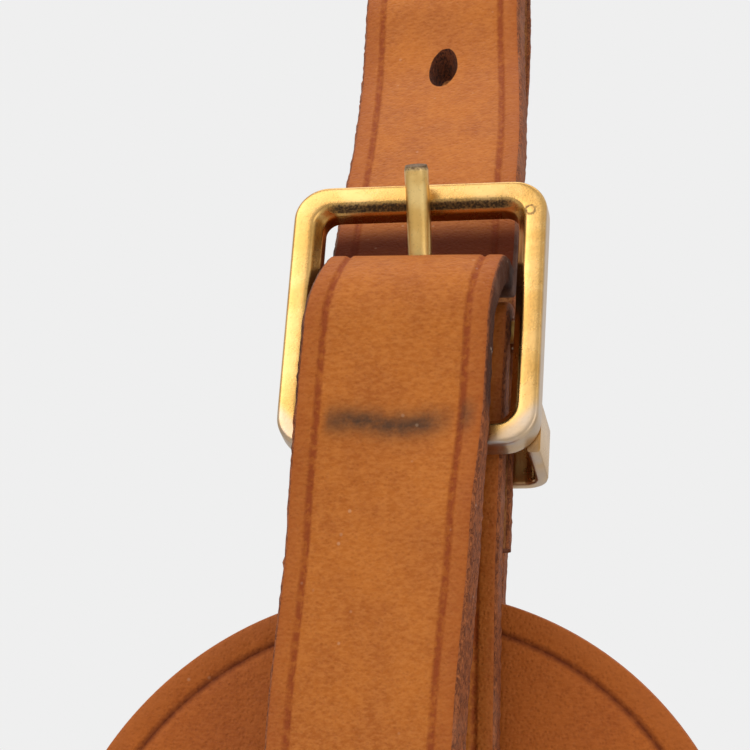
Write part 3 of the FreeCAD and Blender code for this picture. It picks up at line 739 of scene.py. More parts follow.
def frameWearDirtAndLight(local):
    # how far the gilt turns silver (abrasion, a painted highlight) and how dark it is (dirty pits, painted
    # dark reflections) at a place on the frame
    f, m = frameSize, frameMarks
    up, out, x = local.dot(frameUp), local.dot(frameOut), local.x
    fromTop, fromFoot, fromSide = f["height"] / 2 - up, f["height"] / 2 + up, f["width"] / 2 - abs(x)
    # painted highlight: the silver line of light glinting along the bottom bar's lower front edge
    foot = smooth(0.4, 0.1, fromFoot) * smooth(0.35, 0.75, out)
    side = 0.45 * smooth(0.14, 0.0, fromSide)
    corner = 0.5 * smooth(13.6, 14.6, math.hypot(x, up)) * smooth(0.0, -6.0, up)
    rubbedAndLit = max(foot, side, corner)
    ragged = noise.noise(Vector((x * 0.9, up * 0.9, out)) + Vector((7, 0, 0))) * 0.35
    spot = math.hypot(x - m["dimpleAcross"], up - m["dimpleUp"])
    dimple = 0.3 * smooth(0.62, 0.4, spot) + 0.4 * smooth(0.26, 0.1, abs(spot - m["dimpleRadius"]))
    # painted dark reflection of the shaded leather on the bottom bar's underside
    undersideShade = 0.42 * smooth(0.2, 0.02, fromFoot) * smooth(0.6, 0.2, out)
    # painted dark reflection of the shaded leather in the top bar's inner bevel, left bright at the innermost
    # lip
    bevelShade = (0.5 * smooth(0.9, 1.8, fromTop) + 0.35 * smooth(1.7, 2.0, fromTop)) * smooth(2.42, 2.26, fromTop)
    bevelShade *= smooth(m["bevelShadeEnd"], m["bevelShadeReach"], abs(x)) * smooth(-0.2, 0.4, out)
    return min(1.0, max(0.0, rubbedAndLit + ragged * rubbedAndLit)), max(dimple * smooth(0.6, 1.0, out), bevelShade, undersideShade)


def makeFrame():
    f = frameSize
    half, bar = f["thick"] / 2, f["bar"]
    # (distance inside the outer edge, distance out of the middle plane) round one bar of the frame
    section = [(0.0, -half + 0.35), (0.0, -0.2), (0.0, half - 0.4), (0.03, half - 0.24), (0.14, half - 0.08),
               (0.3, half - 0.01), (0.6, half), (1.2, half), (1.65, half - 0.02), (1.8, half - 0.08),
               (1.95, half - 0.22), (2.2, half - 0.6), (2.4, half - 0.88), (bar - 0.08, half - 1.02),
               (bar, half - 1.4), (bar, -half + 0.4),
               (bar - 0.1, -half + 0.12), (bar - 0.35, -half), (0.4, -half), (0.1, -half + 0.1)]
    rings = [frameRing(inset, out) for inset, out in section]
    piece = loft("buckleFrame", rings, closed=True)
    outward(piece)
    # lugs behind the side bars carry the centre bar
    wide, deep, root = bar - f["ease"], f["barRecess"] + f["barRadius"] + f["lugCover"], 0.4
    for way in (-1, 1):
        work = bmesh.new()
        bmesh.ops.create_cube(work, size=1.0)
        bmesh.ops.scale(work, vec=(wide, f["lugHeight"], deep - root), verts=work.verts)
        bmesh.ops.bevel(work, geom=work.edges[:], offset=f["lugRound"], segments=3, affect="EDGES",
                        profile=0.5)
        for vertex in work.verts:
            x, y, z = vertex.co
            vertex.co = framePoint(way * (f["width"] / 2 - bar + wide / 2 + x), y, -(deep + root) / 2 + z)
        lug = bpy.data.meshes.new("lug")
        work.to_mesh(lug)
        work.free()
        merge = bmesh.new()
        merge.from_mesh(piece.data)
        merge.from_mesh(lug)
        bmesh.ops.recalc_face_normals(merge, faces=merge.faces)
        merge.to_mesh(piece.data)
        merge.free()
    smoothing = piece.modifiers.new("smooth", "SUBSURF")
    smoothing.levels = smoothing.render_levels = 2
    applyModifiers(piece)
    for polygon in piece.data.polygons:
        polygon.use_smooth = True
    wornAndLit = [frameWearDirtAndLight((vertex.co - frameCentre) / mm) for vertex in piece.data.vertices]
    maskVertices(piece, wear=[wear for wear, dirt in wornAndLit], dirt=[dirt for wear, dirt in wornAndLit])
    piece.data.materials.clear()
    giveMaterials(piece, gilt)
    return piece


buckle = makeFrame()
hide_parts("buckle_frame")
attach(buckle, "root")
print("buckle", len(buckle.data.polygons), "faces")


# round wires: the tongue and the centre bar


def wireRings(path, radius, around=28):
    # round sections along a path, whose radius is a number or a function of the share of the path
    axis = Vector((1, 0, 0))
    rings = []
    for index, point in enumerate(path):
        before, after = path[max(0, index - 1)], path[min(len(path) - 1, index + 1)]
        along = (after - before).normalized()
        side = axis if abs(along.dot(axis)) < 0.9 else Vector((0, 1, 0))
        first = (side - along * side.dot(along)).normalized()
        second = along.cross(first)
        size = radius(index / (len(path) - 1)) if callable(radius) else radius
        rings.append([point + (first * math.cos(2 * math.pi * k / around)
                               + second * math.sin(2 * math.pi * k / around)) * size
                      for k in range(around)])
    return rings


def makeTongue():
    # a round wire with an eye that turns on the centre bar
    t = tongueSize
    lift = math.radians(tongueHeading - (90.0 - frameSize["tilt"]))
    length = (frameSize["height"] / 2 + t["over"]) / math.cos(lift)
    # the wire leaves the eye steeply and bends over to lie along the frame
    start = barCentre + turned(tongueHeading) * (t["start"] * mm)
    tip = barCentre + turned(tongueHeading) * (length * mm)
    bow = turned(tongueHeading - 90.0) * (t["bow"] * mm)
    path = []
    for step in range(t["pathSteps"] + 1):
        share = step / t["pathSteps"]
        path.append(start.lerp(tip, share) + bow * (4 * share * (1 - share)))

    def radius(share):
        return t["radius"] * mm * (1.0 - 0.10 * smooth(0.985, 1.0, share))

    tongue = loft("tonguePin", wireRings(path, radius))
    outward(tongue)
    # (across, distance from the bar's axis) round the eye's section, which clears the bar
    section = [(-1.1, 1.5), (-0.95, 2.0), (-0.5, 2.1), (0.5, 2.1), (0.95, 2.0), (1.1, 1.5), (0.9, 1.12),
               (-0.9, 1.12)]
    eye = []
    for step in range(t["eyeSteps"]):
        spoke = turned(360.0 * step / t["eyeSteps"])
        eye.append([barCentre + spoke * (reach * mm) + Vector((across * mm, 0, 0))
                    for across, reach in section])
    loop = loft("tongueEye", eye, closed=True)
    outward(loop)
    work = bmesh.new()
    work.from_mesh(tongue.data)
    work.from_mesh(loop.data)
    work.to_mesh(tongue.data)
    work.free()
    bpy.data.objects.remove(loop, do_unlink=True)
    creaseAngle(tongue, 45)
    dirt, wear = [], []
    for vertex in tongue.data.vertices:
        high = (vertex.co - barCentre).dot(turned(tongueHeading)) / mm / length
        wander = noise.noise(vertex.co * 900.0)
        dirt.append(min(1.0, max(0.0, smooth(0.93, 1.0, high) * 0.9 + 0.35 * max(0.0, wander)
                                 + 0.2 * smooth(0.35, 0.1, high))))
        wear.append(smooth(0.955, 1.0, high) * 0.7)
    maskVertices(tongue, wear=wear, dirt=dirt)
    giveMaterials(tongue, giltTongue)
    return tongue


giltTongue = giltMetal("giltTongue", dict(
    light=(238, 204, 134), deep=(216, 172, 98), wornAndLit=(190, 178, 160), dirt=(96, 70, 40),
    roughness=0.26, bump=0.9))
tongue = makeTongue()
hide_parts("tongue")
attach(tongue, "tongue")
print("tongue", len(tongue.data.polygons), "faces")

barLow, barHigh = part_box("centre_bar")
barPath = [Vector((mixed(barLow[0], barHigh[0], step / 12), barCentre.y, barCentre.z)) for step in range(13)]
bar = loft("centreBar", wireRings(barPath, frameSize["barRadius"] * mm))
outward(bar)
creaseAngle(bar, 45)
giveMaterials(bar, giltTongue)
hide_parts("centre_bar")
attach(bar, "root")

# keeper loop
keeperSize = dict(width=20.6, shift=0.8, depth=7.6, thick=1.1, height=4.8, corner=2.2, drop=0.3, ease=0.28)


def makeKeeper():
    # a band bent to a U, its two ends on the back of the frame
    k = keeperSize
    half = frameSize["thick"] / 2
    middle = k["height"] / 2 + k["drop"] - frameSize["height"] / 2
    spine = k["width"] / 2 - k["thick"] / 2
    deep = half + k["depth"] - k["thick"] / 2
    radius = k["corner"] - k["thick"] / 2
    path = [((-spine, -half - (deep - half - radius) * step / 6), (-1, 0)) for step in range(6)]
    for step in range(9):
        angle = math.radians(180 + 90 * step / 8)
        path.append(((-spine + radius + radius * math.cos(angle), -deep + radius + radius * math.sin(angle)),
                     (math.cos(angle), math.sin(angle))))
    path += [((mixed(-spine + radius, spine - radius, step / 10), -deep), (0, -1)) for step in range(1, 10)]
    path += [((-x, out), (-nx, ny)) for (x, out), (nx, ny) in path[:15][::-1]]
    high, thick, ease = k["height"] / 2, k["thick"] / 2, k["ease"]
    # (up, out) round the band's section, its four edges eased
    section = [(-high + ease, -thick), (-high + 0.06, -thick + 0.08), (-high, -thick + ease),
               (-high, thick - ease), (-high + 0.06, thick - 0.08), (-high + ease, thick), (0.0, thick),
               (high - ease, thick), (high - 0.06, thick - 0.08), (high, thick - ease),
               (high, -thick + ease), (high - 0.06, -thick + 0.08), (high - ease, -thick), (0.0, -thick)]
    rings = []
    for (x, out), (nx, ny) in path:
        rings.append([framePoint(x + nx * side + k["shift"], middle + up, out + ny * side)
                      for up, side in section])
    piece = loft("keeperLoop", rings)
    outward(piece)
    creaseAngle(piece, 60)
    wear = []
    for vertex in piece.data.vertices:
        local = (vertex.co - frameCentre) / mm
        low = smooth(0.25, 0.0, local.dot(frameUp) - middle + high)
        wear.append(low * (0.5 + 0.5 * noise.noise(vertex.co * 700.0)))
    maskVertices(piece, wear=wear, dirt=[0.0] * len(wear))
    giveMaterials(piece, gilt)
    return piece


keeper = makeKeeper()
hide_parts("keeper_loop")
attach(keeper, "root")
print("metalwork done")

# tag panels
frontBox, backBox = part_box("tag_front"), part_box("tag_back")
paneBox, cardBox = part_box("window_pane"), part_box("name_card")
tagSize = dict(
    corner=8.0, frontThick=1.5, backThick=2.0, edgeRound=0.4, crease=2.6, creaseHalf=0.5, creaseDepth=0.24,
    slot=dict(width=20.0, height=4.5, drop=17.7, corner=1.6),
    window=dict(width=38.0, height=56.0, drop=35.0, corner=3.0),
    notchRadius=6.0, cardClear=0.5, recessDeep=1.0, recessPast=4.0, sheetCorner=1.5, ruling=10.0,
    rulingReach=16.5)
tagWidth = (frontBox[1][0] - frontBox[0][0]) / mm
tagLength = (frontBox[1][2] - frontBox[0][2]) / mm
tagMiddle = (frontBox[1][0] + frontBox[0][0]) / 2 / mm
tagTopZ = frontBox[1][2] / mm


def tagOutline(inset):
    # the arched outline, a given distance inside the edge
    half, corner = tagWidth / 2, tagSize["corner"]
    points = []
    for step in range(97):
        angle = math.pi * step / 96
        points.append(((half - inset) * math.cos(angle), -half + (half - inset) * math.sin(angle)))
    straight = tagLength - half - corner
    for step in range(1, 30):
        points.append((-half + inset, -half - straight * step / 30))
    for step in range(13):
        angle = math.pi + math.pi / 2 * step / 12
        points.append((-half + corner + (corner - inset) * math.cos(angle),
                       -tagLength + corner + (corner - inset) * math.sin(angle)))
    for step in range(1, 20):
        points.append((mixed(-half + corner, half - corner, step / 20), -tagLength + inset))
    for step in range(13):
        angle = 3 * math.pi / 2 + math.pi / 2 * step / 12
        points.append((half - corner + (corner - inset) * math.cos(angle),
                       -tagLength + corner + (corner - inset) * math.sin(angle)))
    for step in range(1, 30):
        points.append((half - inset, -tagLength + corner + straight * step / 30))
    return points


def roundedRectangle(cx, cz, wide, high, corner, swell, steps=8):
    radius = corner + swell
    halfWide, halfHigh = wide / 2 + swell - radius, high / 2 + swell - radius
    points = []
    for quarter, (sx, sz) in enumerate([(1, 1), (-1, 1), (-1, -1), (1, -1)]):
        for step in range(steps + 1):
            angle = math.radians(90.0 * quarter + 90.0 * step / steps)
            points.append((cx + sx * halfWide + radius * math.cos(angle),
                           cz + sz * halfHigh + radius * math.sin(angle)))
        ends = [(-sx, sz), (sx, -sz)][quarter % 2]
        endX = cx + ends[0] * halfWide + (radius * math.cos(angle) if quarter % 2 else 0)
        endZ = cz + ends[1] * halfHigh + (0 if quarter % 2 else radius * math.sin(angle))
        length = math.hypot(endX - points[-1][0], endZ - points[-1][1])
        count = max(2, round(length / 3.0))
        lastX, lastZ = points[-1]
        for step in range(1, count):
            points.append((mixed(lastX, endX, step / count), mixed(lastZ, endZ, step / count)))
    return points


def insideRounded(x, z, cx, cz, wide, high, corner):
    # signed distance to a rounded rectangle, negative inside
    dx, dz = abs(x - cx) - wide / 2 + corner, abs(z - cz) - high / 2 + corner
    return math.hypot(max(dx, 0.0), max(dz, 0.0)) + min(max(dx, dz), 0.0) - corner


def outsideOutline(x, z):
    # signed distance to the arched outline, negative inside
    half = tagWidth / 2
    if z > -half:
        return math.hypot(x, z + half) - half
    return insideRounded(x, z, 0.0, -tagLength / 2, tagWidth, tagLength, tagSize["corner"])


def makePanel(name, thick, face, hasWindow, facing):
    # a flat cut shape: rings round each edge carry its rounding and its tooled crease
    t = tagSize
    slot, window = [(0.0, -cut["drop"] - cut["height"] / 2, cut["width"], cut["height"], cut["corner"])
                    for cut in (t["slot"], t["window"])]
    notchX, notchZ, notchRadius = tagWidth / 2, window[1], t["notchRadius"]
    creases = [t["crease"] + t["creaseHalf"] * k for k in (-1.0, -0.5, 0.0, 0.5, 1.0)]
    loops = [tagOutline(inset) for inset in [0.0, 0.14, 0.4, 0.9] + creases + [3.8, 6.5]]
    cuts = [slot] + ([window] if hasWindow else [])
    for cx, cz, wide, high, corner in cuts:
        for swell in (0.0, 0.14, 0.4, 1.25, 1.55, 1.85, 2.6):
            loops.append(roundedRectangle(cx, cz, wide, high, corner, swell))
    for swell in (0.0, 0.14, 0.4, 1.2):
        arc = []
        for step in range(25):
            angle = math.radians(90 + 180 * step / 24)
            arc.append((notchX + (notchRadius + swell) * math.cos(angle),
                        notchZ + (notchRadius + swell) * math.sin(angle)))
        loops.append(arc + [(tagWidth / 2 + 3, arc[-1][1]), (tagWidth / 2 + 3, arc[0][1])])
    points, edges = [], []
    for loop in loops:
        first = len(points)
        points += [Vector(p) for p in loop]
        edges += [(first + k, first + (k + 1) % len(loop)) for k in range(len(loop))]
    spacing = 3.0  # of the loose points that fill the faces
    for row in range(int(tagLength / spacing)):
        for column in range(int(tagWidth / spacing)):
            x = -tagWidth / 2 + 1.3 + column * spacing + (row % 2) * 1.4
            points.append(Vector((x, -1.7 - row * spacing)))
    joined = delaunay_2d_cdt(points, edges, [], 0, 1e-5)
    flat, faces = joined[0], joined[2]

    def heights(x, z):
        # depth below the face, the crease mask and the distance to the nearest edge
        edge = -outsideOutline(x, z)
        fall = 0.0
        gaps = [edge, math.hypot(x - notchX, z - notchZ) - notchRadius]
        line = smooth(t["creaseHalf"], 0.0, abs(edge - t["crease"]))
        for cut in cuts:
            gap = insideRounded(x, z, *cut)
            gaps.append(gap)
            line = max(line, 0.8 * smooth(0.32, 0.0, abs(gap - 1.55)))
        nearest = min(gaps)
        rounding = t["edgeRound"]
        if nearest < rounding:
            fall = rounding - math.sqrt(max(0.0, rounding ** 2 - (rounding - max(0.0, nearest)) ** 2))
        if gaps[1] < 1.0:
            line *= smooth(0.3, 1.0, gaps[1])
        panelDrop = 0.06 * smooth(t["crease"] - 0.2, t["crease"] + 0.6, edge)
        return fall + line * t["creaseDepth"] + panelDrop, line, nearest

    vertices, masks = [], []
    for p in flat:
        fall, line, nearest = heights(p.x, p.y)
        warp = 0.05 * noise.noise(Vector((p.x * 0.05, p.y * 0.05, 3.0)))
        vertices.append(Vector((p.x, p.y, fall + warp)))
        masks.append((line, smooth(2.0, 0.8, nearest)))
    kept = []
    for corners in faces:
        cx = sum(flat[k].x for k in corners) / 3
        cz = sum(flat[k].y for k in corners) / 3
        gone = outsideOutline(cx, cz) > 0 or math.hypot(cx - notchX, cz - notchZ) < notchRadius
        gone = gone or any(insideRounded(cx, cz, *cut) < 0 for cut in cuts)
        if not gone:
            kept.append(tuple(corners))
    used = sorted({k for f in kept for k in f})
    renumber = {old: new for new, old in enumerate(used)}
    kept = [tuple(renumber[k] for k in f) for f in kept]
    top = [vertices[k] for k in used]
    masks = [masks[k] for k in used]
    count = len(top)

    def placed(x, z, depth):
        return Vector(((tagMiddle + x) * mm, face + depth * facing * mm, (tagTopZ + z) * mm))

    solid = [placed(v.x, v.y, v.z) for v in top] + [placed(v.x, v.y, thick) for v in top]
    sides = {}
    for f in kept:
        for a, b in zip(f, f[1:] + f[:1]):
            sides[(a, b)] = sides.get((a, b), 0) + 1
    rim = [(a, b) for (a, b) in sides if (b, a) not in sides]
    faces = kept + [tuple(k + count for k in f[::-1]) for f in kept]
    walls = [(b, a, a + count, b + count) for a, b in rim]
    piece = meshPiece(name, solid, faces + walls)
    giveMaterials(piece, tagGrain, cutEdge, fleshSide)
    for index, polygon in enumerate(piece.data.polygons):
        polygon.material_index = 0 if index < len(kept) else (2 if index < 2 * len(kept) else 1)
    maskVertices(piece, crease=[crease for crease, rim in masks] * 2, rim=[rim for crease, rim in masks] * 2,
                 stain=[0.0] * (2 * count))
    outward(piece)
    creaseAngle(piece, 38)
    return piece


frontPanel = makePanel("tagFrontPanel", tagSize["frontThick"], frontBox[0][1], True, 1.0)
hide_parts("tag_front")
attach(frontPanel, "tag")
print("front panel", len(frontPanel.data.polygons), "faces")


def makeBackPanel():
    # the back panel's grain faces backwards; the card's recess is cut into its inner face
    t = tagSize
    piece = makePanel("tagBackPanel", t["backThick"], backBox[1][1], False, -1.0)
    clear, deep, past = t["cardClear"] * mm, t["recessDeep"] * mm, t["recessPast"] * mm
    low = Vector((cardBox[0][0] - clear, frontBox[1][1] - deep, cardBox[0][2] - clear))
    high = Vector((backBox[1][0] + past, frontBox[1][1] + deep, cardBox[1][2] + clear))
    cutWith(piece, boxCutter("recess", high - low, (high + low) / 2, 2, tagGrain, cutEdge, fleshSide))
    creaseAngle(piece, 38)
    return piece


backPanel = makeBackPanel()
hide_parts("tag_back")
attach(backPanel, "tag")
print("back panel", len(backPanel.data.polygons), "faces")


# window sheet and name card


def thinSheet(name, box, ease):
    # a flat sheet that fills a box, its corners round and its edges eased
    low, high = box
    cx, cz = (low[0] + high[0]) / 2 / mm, (low[2] + high[2]) / 2 / mm
    wide, thick, tall = [(top - foot) / mm for foot, top in zip(low, high)]
    rings = []
    for inset, depth in [(ease, 0.0), (0.0, ease), (0.0, thick - ease), (ease, thick)]:
        points = roundedRectangle(cx, cz, wide, tall, tagSize["sheetCorner"], -inset, 6)
        rings.append([Vector((x * mm, low[1] + depth * mm, z * mm)) for x, z in points])
    piece = loft(name, rings)
    outward(piece)
    creaseAngle(piece, 30)
    return piece


def clearMaterial():
    # a clear flexible sheet, a little hazy and finely scuffed
    material, work, shader = newMaterial("clearSheet")
    place = objectPlace(work)
    haze = work.add("TexNoise", {"Vector": place, "Scale": 90.0, "Detail": 3.0}).outputs[0]
    shader.inputs["Base Color"].default_value = (0.96, 0.97, 0.96, 1.0)
    shader.inputs["Transmission Weight"].default_value = 1.0
    shader.inputs["IOR"].default_value = 1.3
    work.feed(shader.inputs["Roughness"], work.ramp(haze, 0.3, 0.75, 0.02, 0.10))
    scuffs = work.add("Mapping", {"Vector": place, "Scale": (140.0, 1.0, 900.0), "Rotation": (0, 0.5, 0)})
    lines = work.add("TexNoise", {"Vector": scuffs.outputs[0], "Scale": 1.0, "Detail": 4.0}).outputs[0]
    bump = work.add("Bump", {"Height": lines, "Strength": 0.15, "Distance": 0.00004})
    work.feed(shader.inputs["Normal"], bump.outputs[0])
    return material


def cardMaterial():
    # off-white card with plain ruled lines to write on
    material, work, shader = newMaterial("cardStock")
    place = objectPlace(work)
    split = work.add("SeparateXYZ", {"Vector": place})
    foot, reach = float(cardBox[0][2]), tagSize["rulingReach"] * mm
    row = work.maths("DIVIDE", work.maths("SUBTRACT", split.outputs["Z"], foot), tagSize["ruling"] * mm)
    near = work.maths("ABSOLUTE", work.maths("SUBTRACT", work.maths("FRACT", row), 0.5))
    across = work.maths("ABSOLUTE", work.maths("SUBTRACT", split.outputs["X"], float(tagMiddle * mm)))
    line = work.maths("MULTIPLY", work.ramp(near, 0.022, 0.012), work.ramp(across, reach, reach - 0.5 * mm))
    fibres = work.add("TexNoise", {"Vector": place, "Scale": 1500.0, "Detail": 4.0}).outputs[0]
    tone = work.blendColour(work.ramp(fibres, 0.3, 0.7), srgb(236, 229, 214), srgb(246, 241, 230))
    tone = work.blendColour(work.maths("MULTIPLY", line, 0.75), tone, srgb(128, 112, 96))
    work.feed(shader.inputs["Base Color"], tone)
    shader.inputs["Roughness"].default_value = 0.8
    bump = work.add("Bump", {"Height": fibres, "Strength": 0.2, "Distance": 0.00003})
    work.feed(shader.inputs["Normal"], bump.outputs[0])
    return material


pane = thinSheet("windowSheet", paneBox, 0.06)
giveMaterials(pane, clearMaterial())
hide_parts("window_pane")
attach(pane, "tag")
card = thinSheet("nameCard", cardBox, 0.08)
giveMaterials(card, cardMaterial())
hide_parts("name_card")
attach(card, "card")
print("window sheet and card done")


# stitches


def threadMaterial():
    # waxed linen thread, its plies twisted
    material, work, shader = newMaterial("waxedThread")
    place = objectPlace(work)
    twist = work.add("TexWave", {"Vector": place, "Scale": 900.0, "Distortion": 1.0},
                     bands_direction="DIAGONAL").outputs[1]
    tone = work.blendColour(twist, srgb(176, 128, 74), srgb(222, 184, 128))
    work.feed(shader.inputs["Base Color"], tone)
    shader.inputs["Roughness"].default_value = 0.55
    bump = work.add("Bump", {"Height": twist, "Strength": 0.6, "Distance": 0.00006})
    work.feed(shader.inputs["Normal"], bump.outputs[0])
    return material


thread = threadMaterial()
stitchSize = dict(pitch=3.4, length=2.7, thick=0.62, edge=0.35, sunk=0.08)


def stitchTree():
    # stitches laid along a path, one short oval of thread per pitch
    tree = bpy.data.node_groups.new("stitchRow", "GeometryNodeTree")
    tree.interface.new_socket("Geometry", in_out="INPUT", socket_type="NodeSocketGeometry")
    for label, key in (("Pitch", "pitch"), ("Length", "length"), ("Thickness", "thick")):
        socket = tree.interface.new_socket(label, in_out="INPUT", socket_type="NodeSocketFloat")
        socket.default_value = stitchSize[key] * mm
    tree.interface.new_socket("Thread", in_out="INPUT", socket_type="NodeSocketMaterial")
    tree.interface.new_socket("Geometry", in_out="OUTPUT", socket_type="NodeSocketGeometry")
    source, sink = tree.nodes.new("NodeGroupInput"), tree.nodes.new("NodeGroupOutput")

    def node(kind, **settings):
        made = tree.nodes.new(kind)
        for key, value in settings.items():
            setattr(made, key, value)
        return made

    def link(a, b):
        tree.links.new(a, b)

    toCurve = node("GeometryNodeMeshToCurve")
    resample = node("GeometryNodeResampleCurve", mode="LENGTH")
    points = node("GeometryNodeCurveToPoints", mode="EVALUATED")
    ball = node("GeometryNodeMeshIcoSphere")
    ball.inputs["Subdivisions"].default_value = 2
    ball.inputs["Radius"].default_value = 0.5
    shape = node("GeometryNodeTransform")
    sizeVector = node("ShaderNodeCombineXYZ")
    instance = node("GeometryNodeInstanceOnPoints")
    align = node("FunctionNodeAlignRotationToVector", axis="Z")
    realize = node("GeometryNodeRealizeInstances")
    paint = node("GeometryNodeSetMaterial")
    link(source.outputs["Geometry"], toCurve.inputs[0])
    link(toCurve.outputs[0], resample.inputs["Curve"])
    link(source.outputs["Pitch"], resample.inputs["Length"])
    link(resample.outputs[0], points.inputs["Curve"])
    link(points.outputs["Points"], instance.inputs["Points"])
    link(points.outputs["Tangent"], align.inputs["Vector"])
    link(align.outputs[0], instance.inputs["Rotation"])
    link(ball.outputs["Mesh"], shape.inputs["Geometry"])
    link(source.outputs["Thickness"], sizeVector.inputs[0])
    link(source.outputs["Thickness"], sizeVector.inputs[1])
    link(source.outputs["Length"], sizeVector.inputs[2])
    link(sizeVector.outputs[0], shape.inputs["Scale"])
    link(shape.outputs[0], instance.inputs["Instance"])
    link(instance.outputs[0], realize.inputs[0])
    link(realize.outputs[0], paint.inputs["Geometry"])
    link(source.outputs["Thread"], paint.inputs["Material"])
    link(paint.outputs[0], sink.inputs[0])
    return tree


stitchRow = stitchTree()


def stitchPiece(name, paths, size):
    # one piece of stitching from several open paths
    vertices, edges = [], []
    for path in paths:
        first = len(vertices)
        vertices += path
        edges += [(first + k, first + k + 1) for k in range(len(path) - 1)]
    mesh = bpy.data.meshes.new(name)
    mesh.from_pydata([tuple(v) for v in vertices], edges, [])
    piece = bpy.data.objects.new(name, mesh)
    bpy.context.scene.collection.objects.link(piece)
    rows = piece.modifiers.new("stitches", "NODES")
    rows.node_group = stitchRow
    sockets = {item.name: item.identifier for item in stitchRow.interface.items_tree
               if item.item_type == "SOCKET" and item.in_out == "INPUT"}
    rows[sockets["Pitch"]] = size["pitch"] * mm
    rows[sockets["Length"]] = size["length"] * mm
    rows[sockets["Thickness"]] = size["thick"] * mm
    rows[sockets["Thread"]] = thread
    applyModifiers(piece)
    for polygon in piece.data.polygons:
        polygon.use_smooth = True
    return piece


def tagStitchPaths():
    # up the closed side of the pocket and across above and below it, on both faces
    stitchBox, edge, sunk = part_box("tag_stitches"), stitchSize["edge"], stitchSize["sunk"] * mm
    left, right = stitchBox[0][0] / mm + edge, stitchBox[1][0] / mm - edge
    low, high = stitchBox[0][2] / mm + edge, stitchBox[1][2] / mm - edge
    corners = [(right, high), (left, high), (left, low), (right, low)]
    paths = []
    for y in (frontBox[0][1] + sunk, backBox[1][1] - sunk):
        path = []
        for (x0, z0), (x1, z1) in zip(corners, corners[1:]):
            count = max(1, round(math.hypot(x1 - x0, z1 - z0) / stitchSize["pitch"]))
            shares = [k / count for k in range(count)]
            path += [Vector((mixed(x0, x1, part) * mm, y, mixed(z0, z1, part) * mm)) for part in shares]
        path.append(Vector((corners[-1][0] * mm, y, corners[-1][1] * mm)))
        paths.append(path)
    return paths


tagStitches = stitchPiece("pocketStitches", tagStitchPaths(), stitchSize)
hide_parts("tag_stitches")
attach(tagStitches, "tag")


def strapStitchPaths():
    # one row on each side of the fold
    low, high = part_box("strap_stitches")
    z, edge = (low[2] + high[2]) / 2, stitchSize["edge"] * mm
    return [[Vector((mixed(low[0], high[0], k / 6), y, z)) for k in range(7)]
            for y in (low[1] + edge, high[1] - edge)]


strapStitches = stitchPiece("foldStitches", strapStitchPaths(), dict(stitchSize, pitch=3.0, length=2.4))
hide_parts("strap_stitches")
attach(strapStitches, "root")
print("stitches done")


# room, lights and camera


def areaLight(name, place, aim, wide, high, power):
    data = bpy.data.lights.new(name, "AREA")
    data.shape = "RECTANGLE"
    data.size, data.size_y = wide, high
    data.energy = power
    lamp = bpy.data.objects.new(name, data)
    bpy.context.scene.collection.objects.link(lamp)
    lamp.location = place
    lamp.rotation_euler = (Vector(aim) - Vector(place)).to_track_quat("-Z", "Y").to_euler()


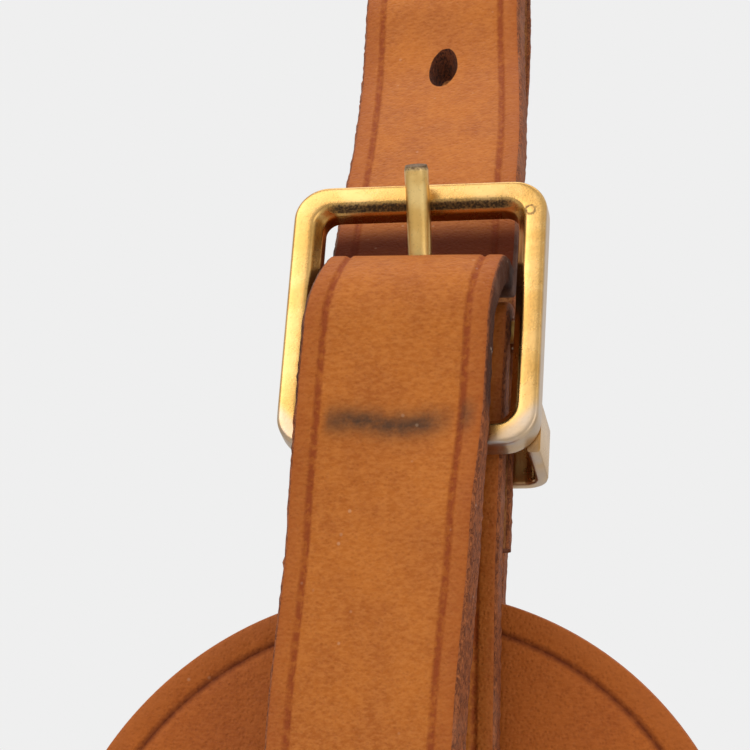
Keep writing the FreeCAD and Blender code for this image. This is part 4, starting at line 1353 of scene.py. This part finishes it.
def makeRoom():
    # a pale floor below the hanging tag, an even backdrop and three softboxes
    low, far = cadBox[0][2] - 0.030, 2.0
    floor = meshPiece("floor", [(-far, -far, low), (far, -far, low), (far, far, low), (-far, far, low)],
                      [(0, 1, 2, 3)])
    material, _, shader = newMaterial("paleFloor")
    shader.inputs["Base Color"].default_value = srgb(208, 208, 208)
    shader.inputs["Roughness"].default_value = 0.9
    giveMaterials(floor, material)
    world = bpy.data.worlds.new("studio")
    world.use_nodes = True
    bpy.context.scene.world = world
    sky = Tree(world.node_tree)
    backdrop = world.node_tree.nodes["Background"]
    seen = sky.add("Background", {"Color": srgb(239, 239, 239), "Strength": 1.0})
    height = sky.add("SeparateXYZ", {"Vector": sky.add("TexCoord").outputs["Generated"]}).outputs["Z"]
    backdrop.inputs["Color"].default_value = (1.0, 1.0, 1.0, 1.0)
    sky.feed(backdrop.inputs["Strength"], sky.ramp(height, -0.7, 0.8, 0.38, 0.95))
    choose = sky.add("MixShader", {0: sky.add("LightPath").outputs["Is Camera Ray"],
                                   1: backdrop.outputs[0], 2: seen.outputs[0]})
    sky.feed(world.node_tree.nodes["World Output"].inputs["Surface"], choose.outputs[0])
    middle = swivel + Vector((0, 0, 0.02))
    areaLight("keySoftbox", middle + Vector((-0.35, -0.55, 0.45)), middle, 0.5, 0.5, 2.0)
    areaLight("fillSoftbox", middle + Vector((0.6, -0.5, 0.1)), middle, 0.4, 0.6, 0.9)
    areaLight("topSoftbox", middle + Vector((0.0, 0.05, 0.7)), middle, 0.6, 0.4, 1.2)


cameraView = dict(azimuth=11.6, elevation=-18.2, roll=2.35, distance=0.233, lens=133.0,
                  aimFrom=(0.0, -8.0, 25.0), aimAcross=-2.8, aimUp=8.6)


def makeCamera():
    v = cameraView
    azimuth, elevation = math.radians(v["azimuth"]), math.radians(v["elevation"])
    back = Vector((math.sin(azimuth) * math.cos(elevation), -math.cos(azimuth) * math.cos(elevation),
                   math.sin(elevation)))
    right = Vector((math.cos(azimuth), math.sin(azimuth), 0.0))
    up = back.cross(right)
    roll = math.radians(v["roll"])
    rightRolled = right * math.cos(roll) + up * math.sin(roll)
    upRolled = up * math.cos(roll) - right * math.sin(roll)
    aim = swivel + Vector(v["aimFrom"]) * mm
    aim += rightRolled * (v["aimAcross"] * mm) + upRolled * (v["aimUp"] * mm)
    data = bpy.data.cameras.new("camera")
    data.lens = v["lens"]
    data.sensor_width = 36.0
    data.clip_start = 0.01
    camera = bpy.data.objects.new("camera", data)
    bpy.context.scene.collection.objects.link(camera)
    turn = Matrix((rightRolled, upRolled, back)).transposed().to_4x4()
    camera.matrix_world = Matrix.Translation(aim + back * v["distance"]) @ turn
    bpy.context.scene.camera = camera
    bpy.context.scene.view_settings.view_transform = "Standard"


makeRoom()
makeCamera()
print("room and camera done")
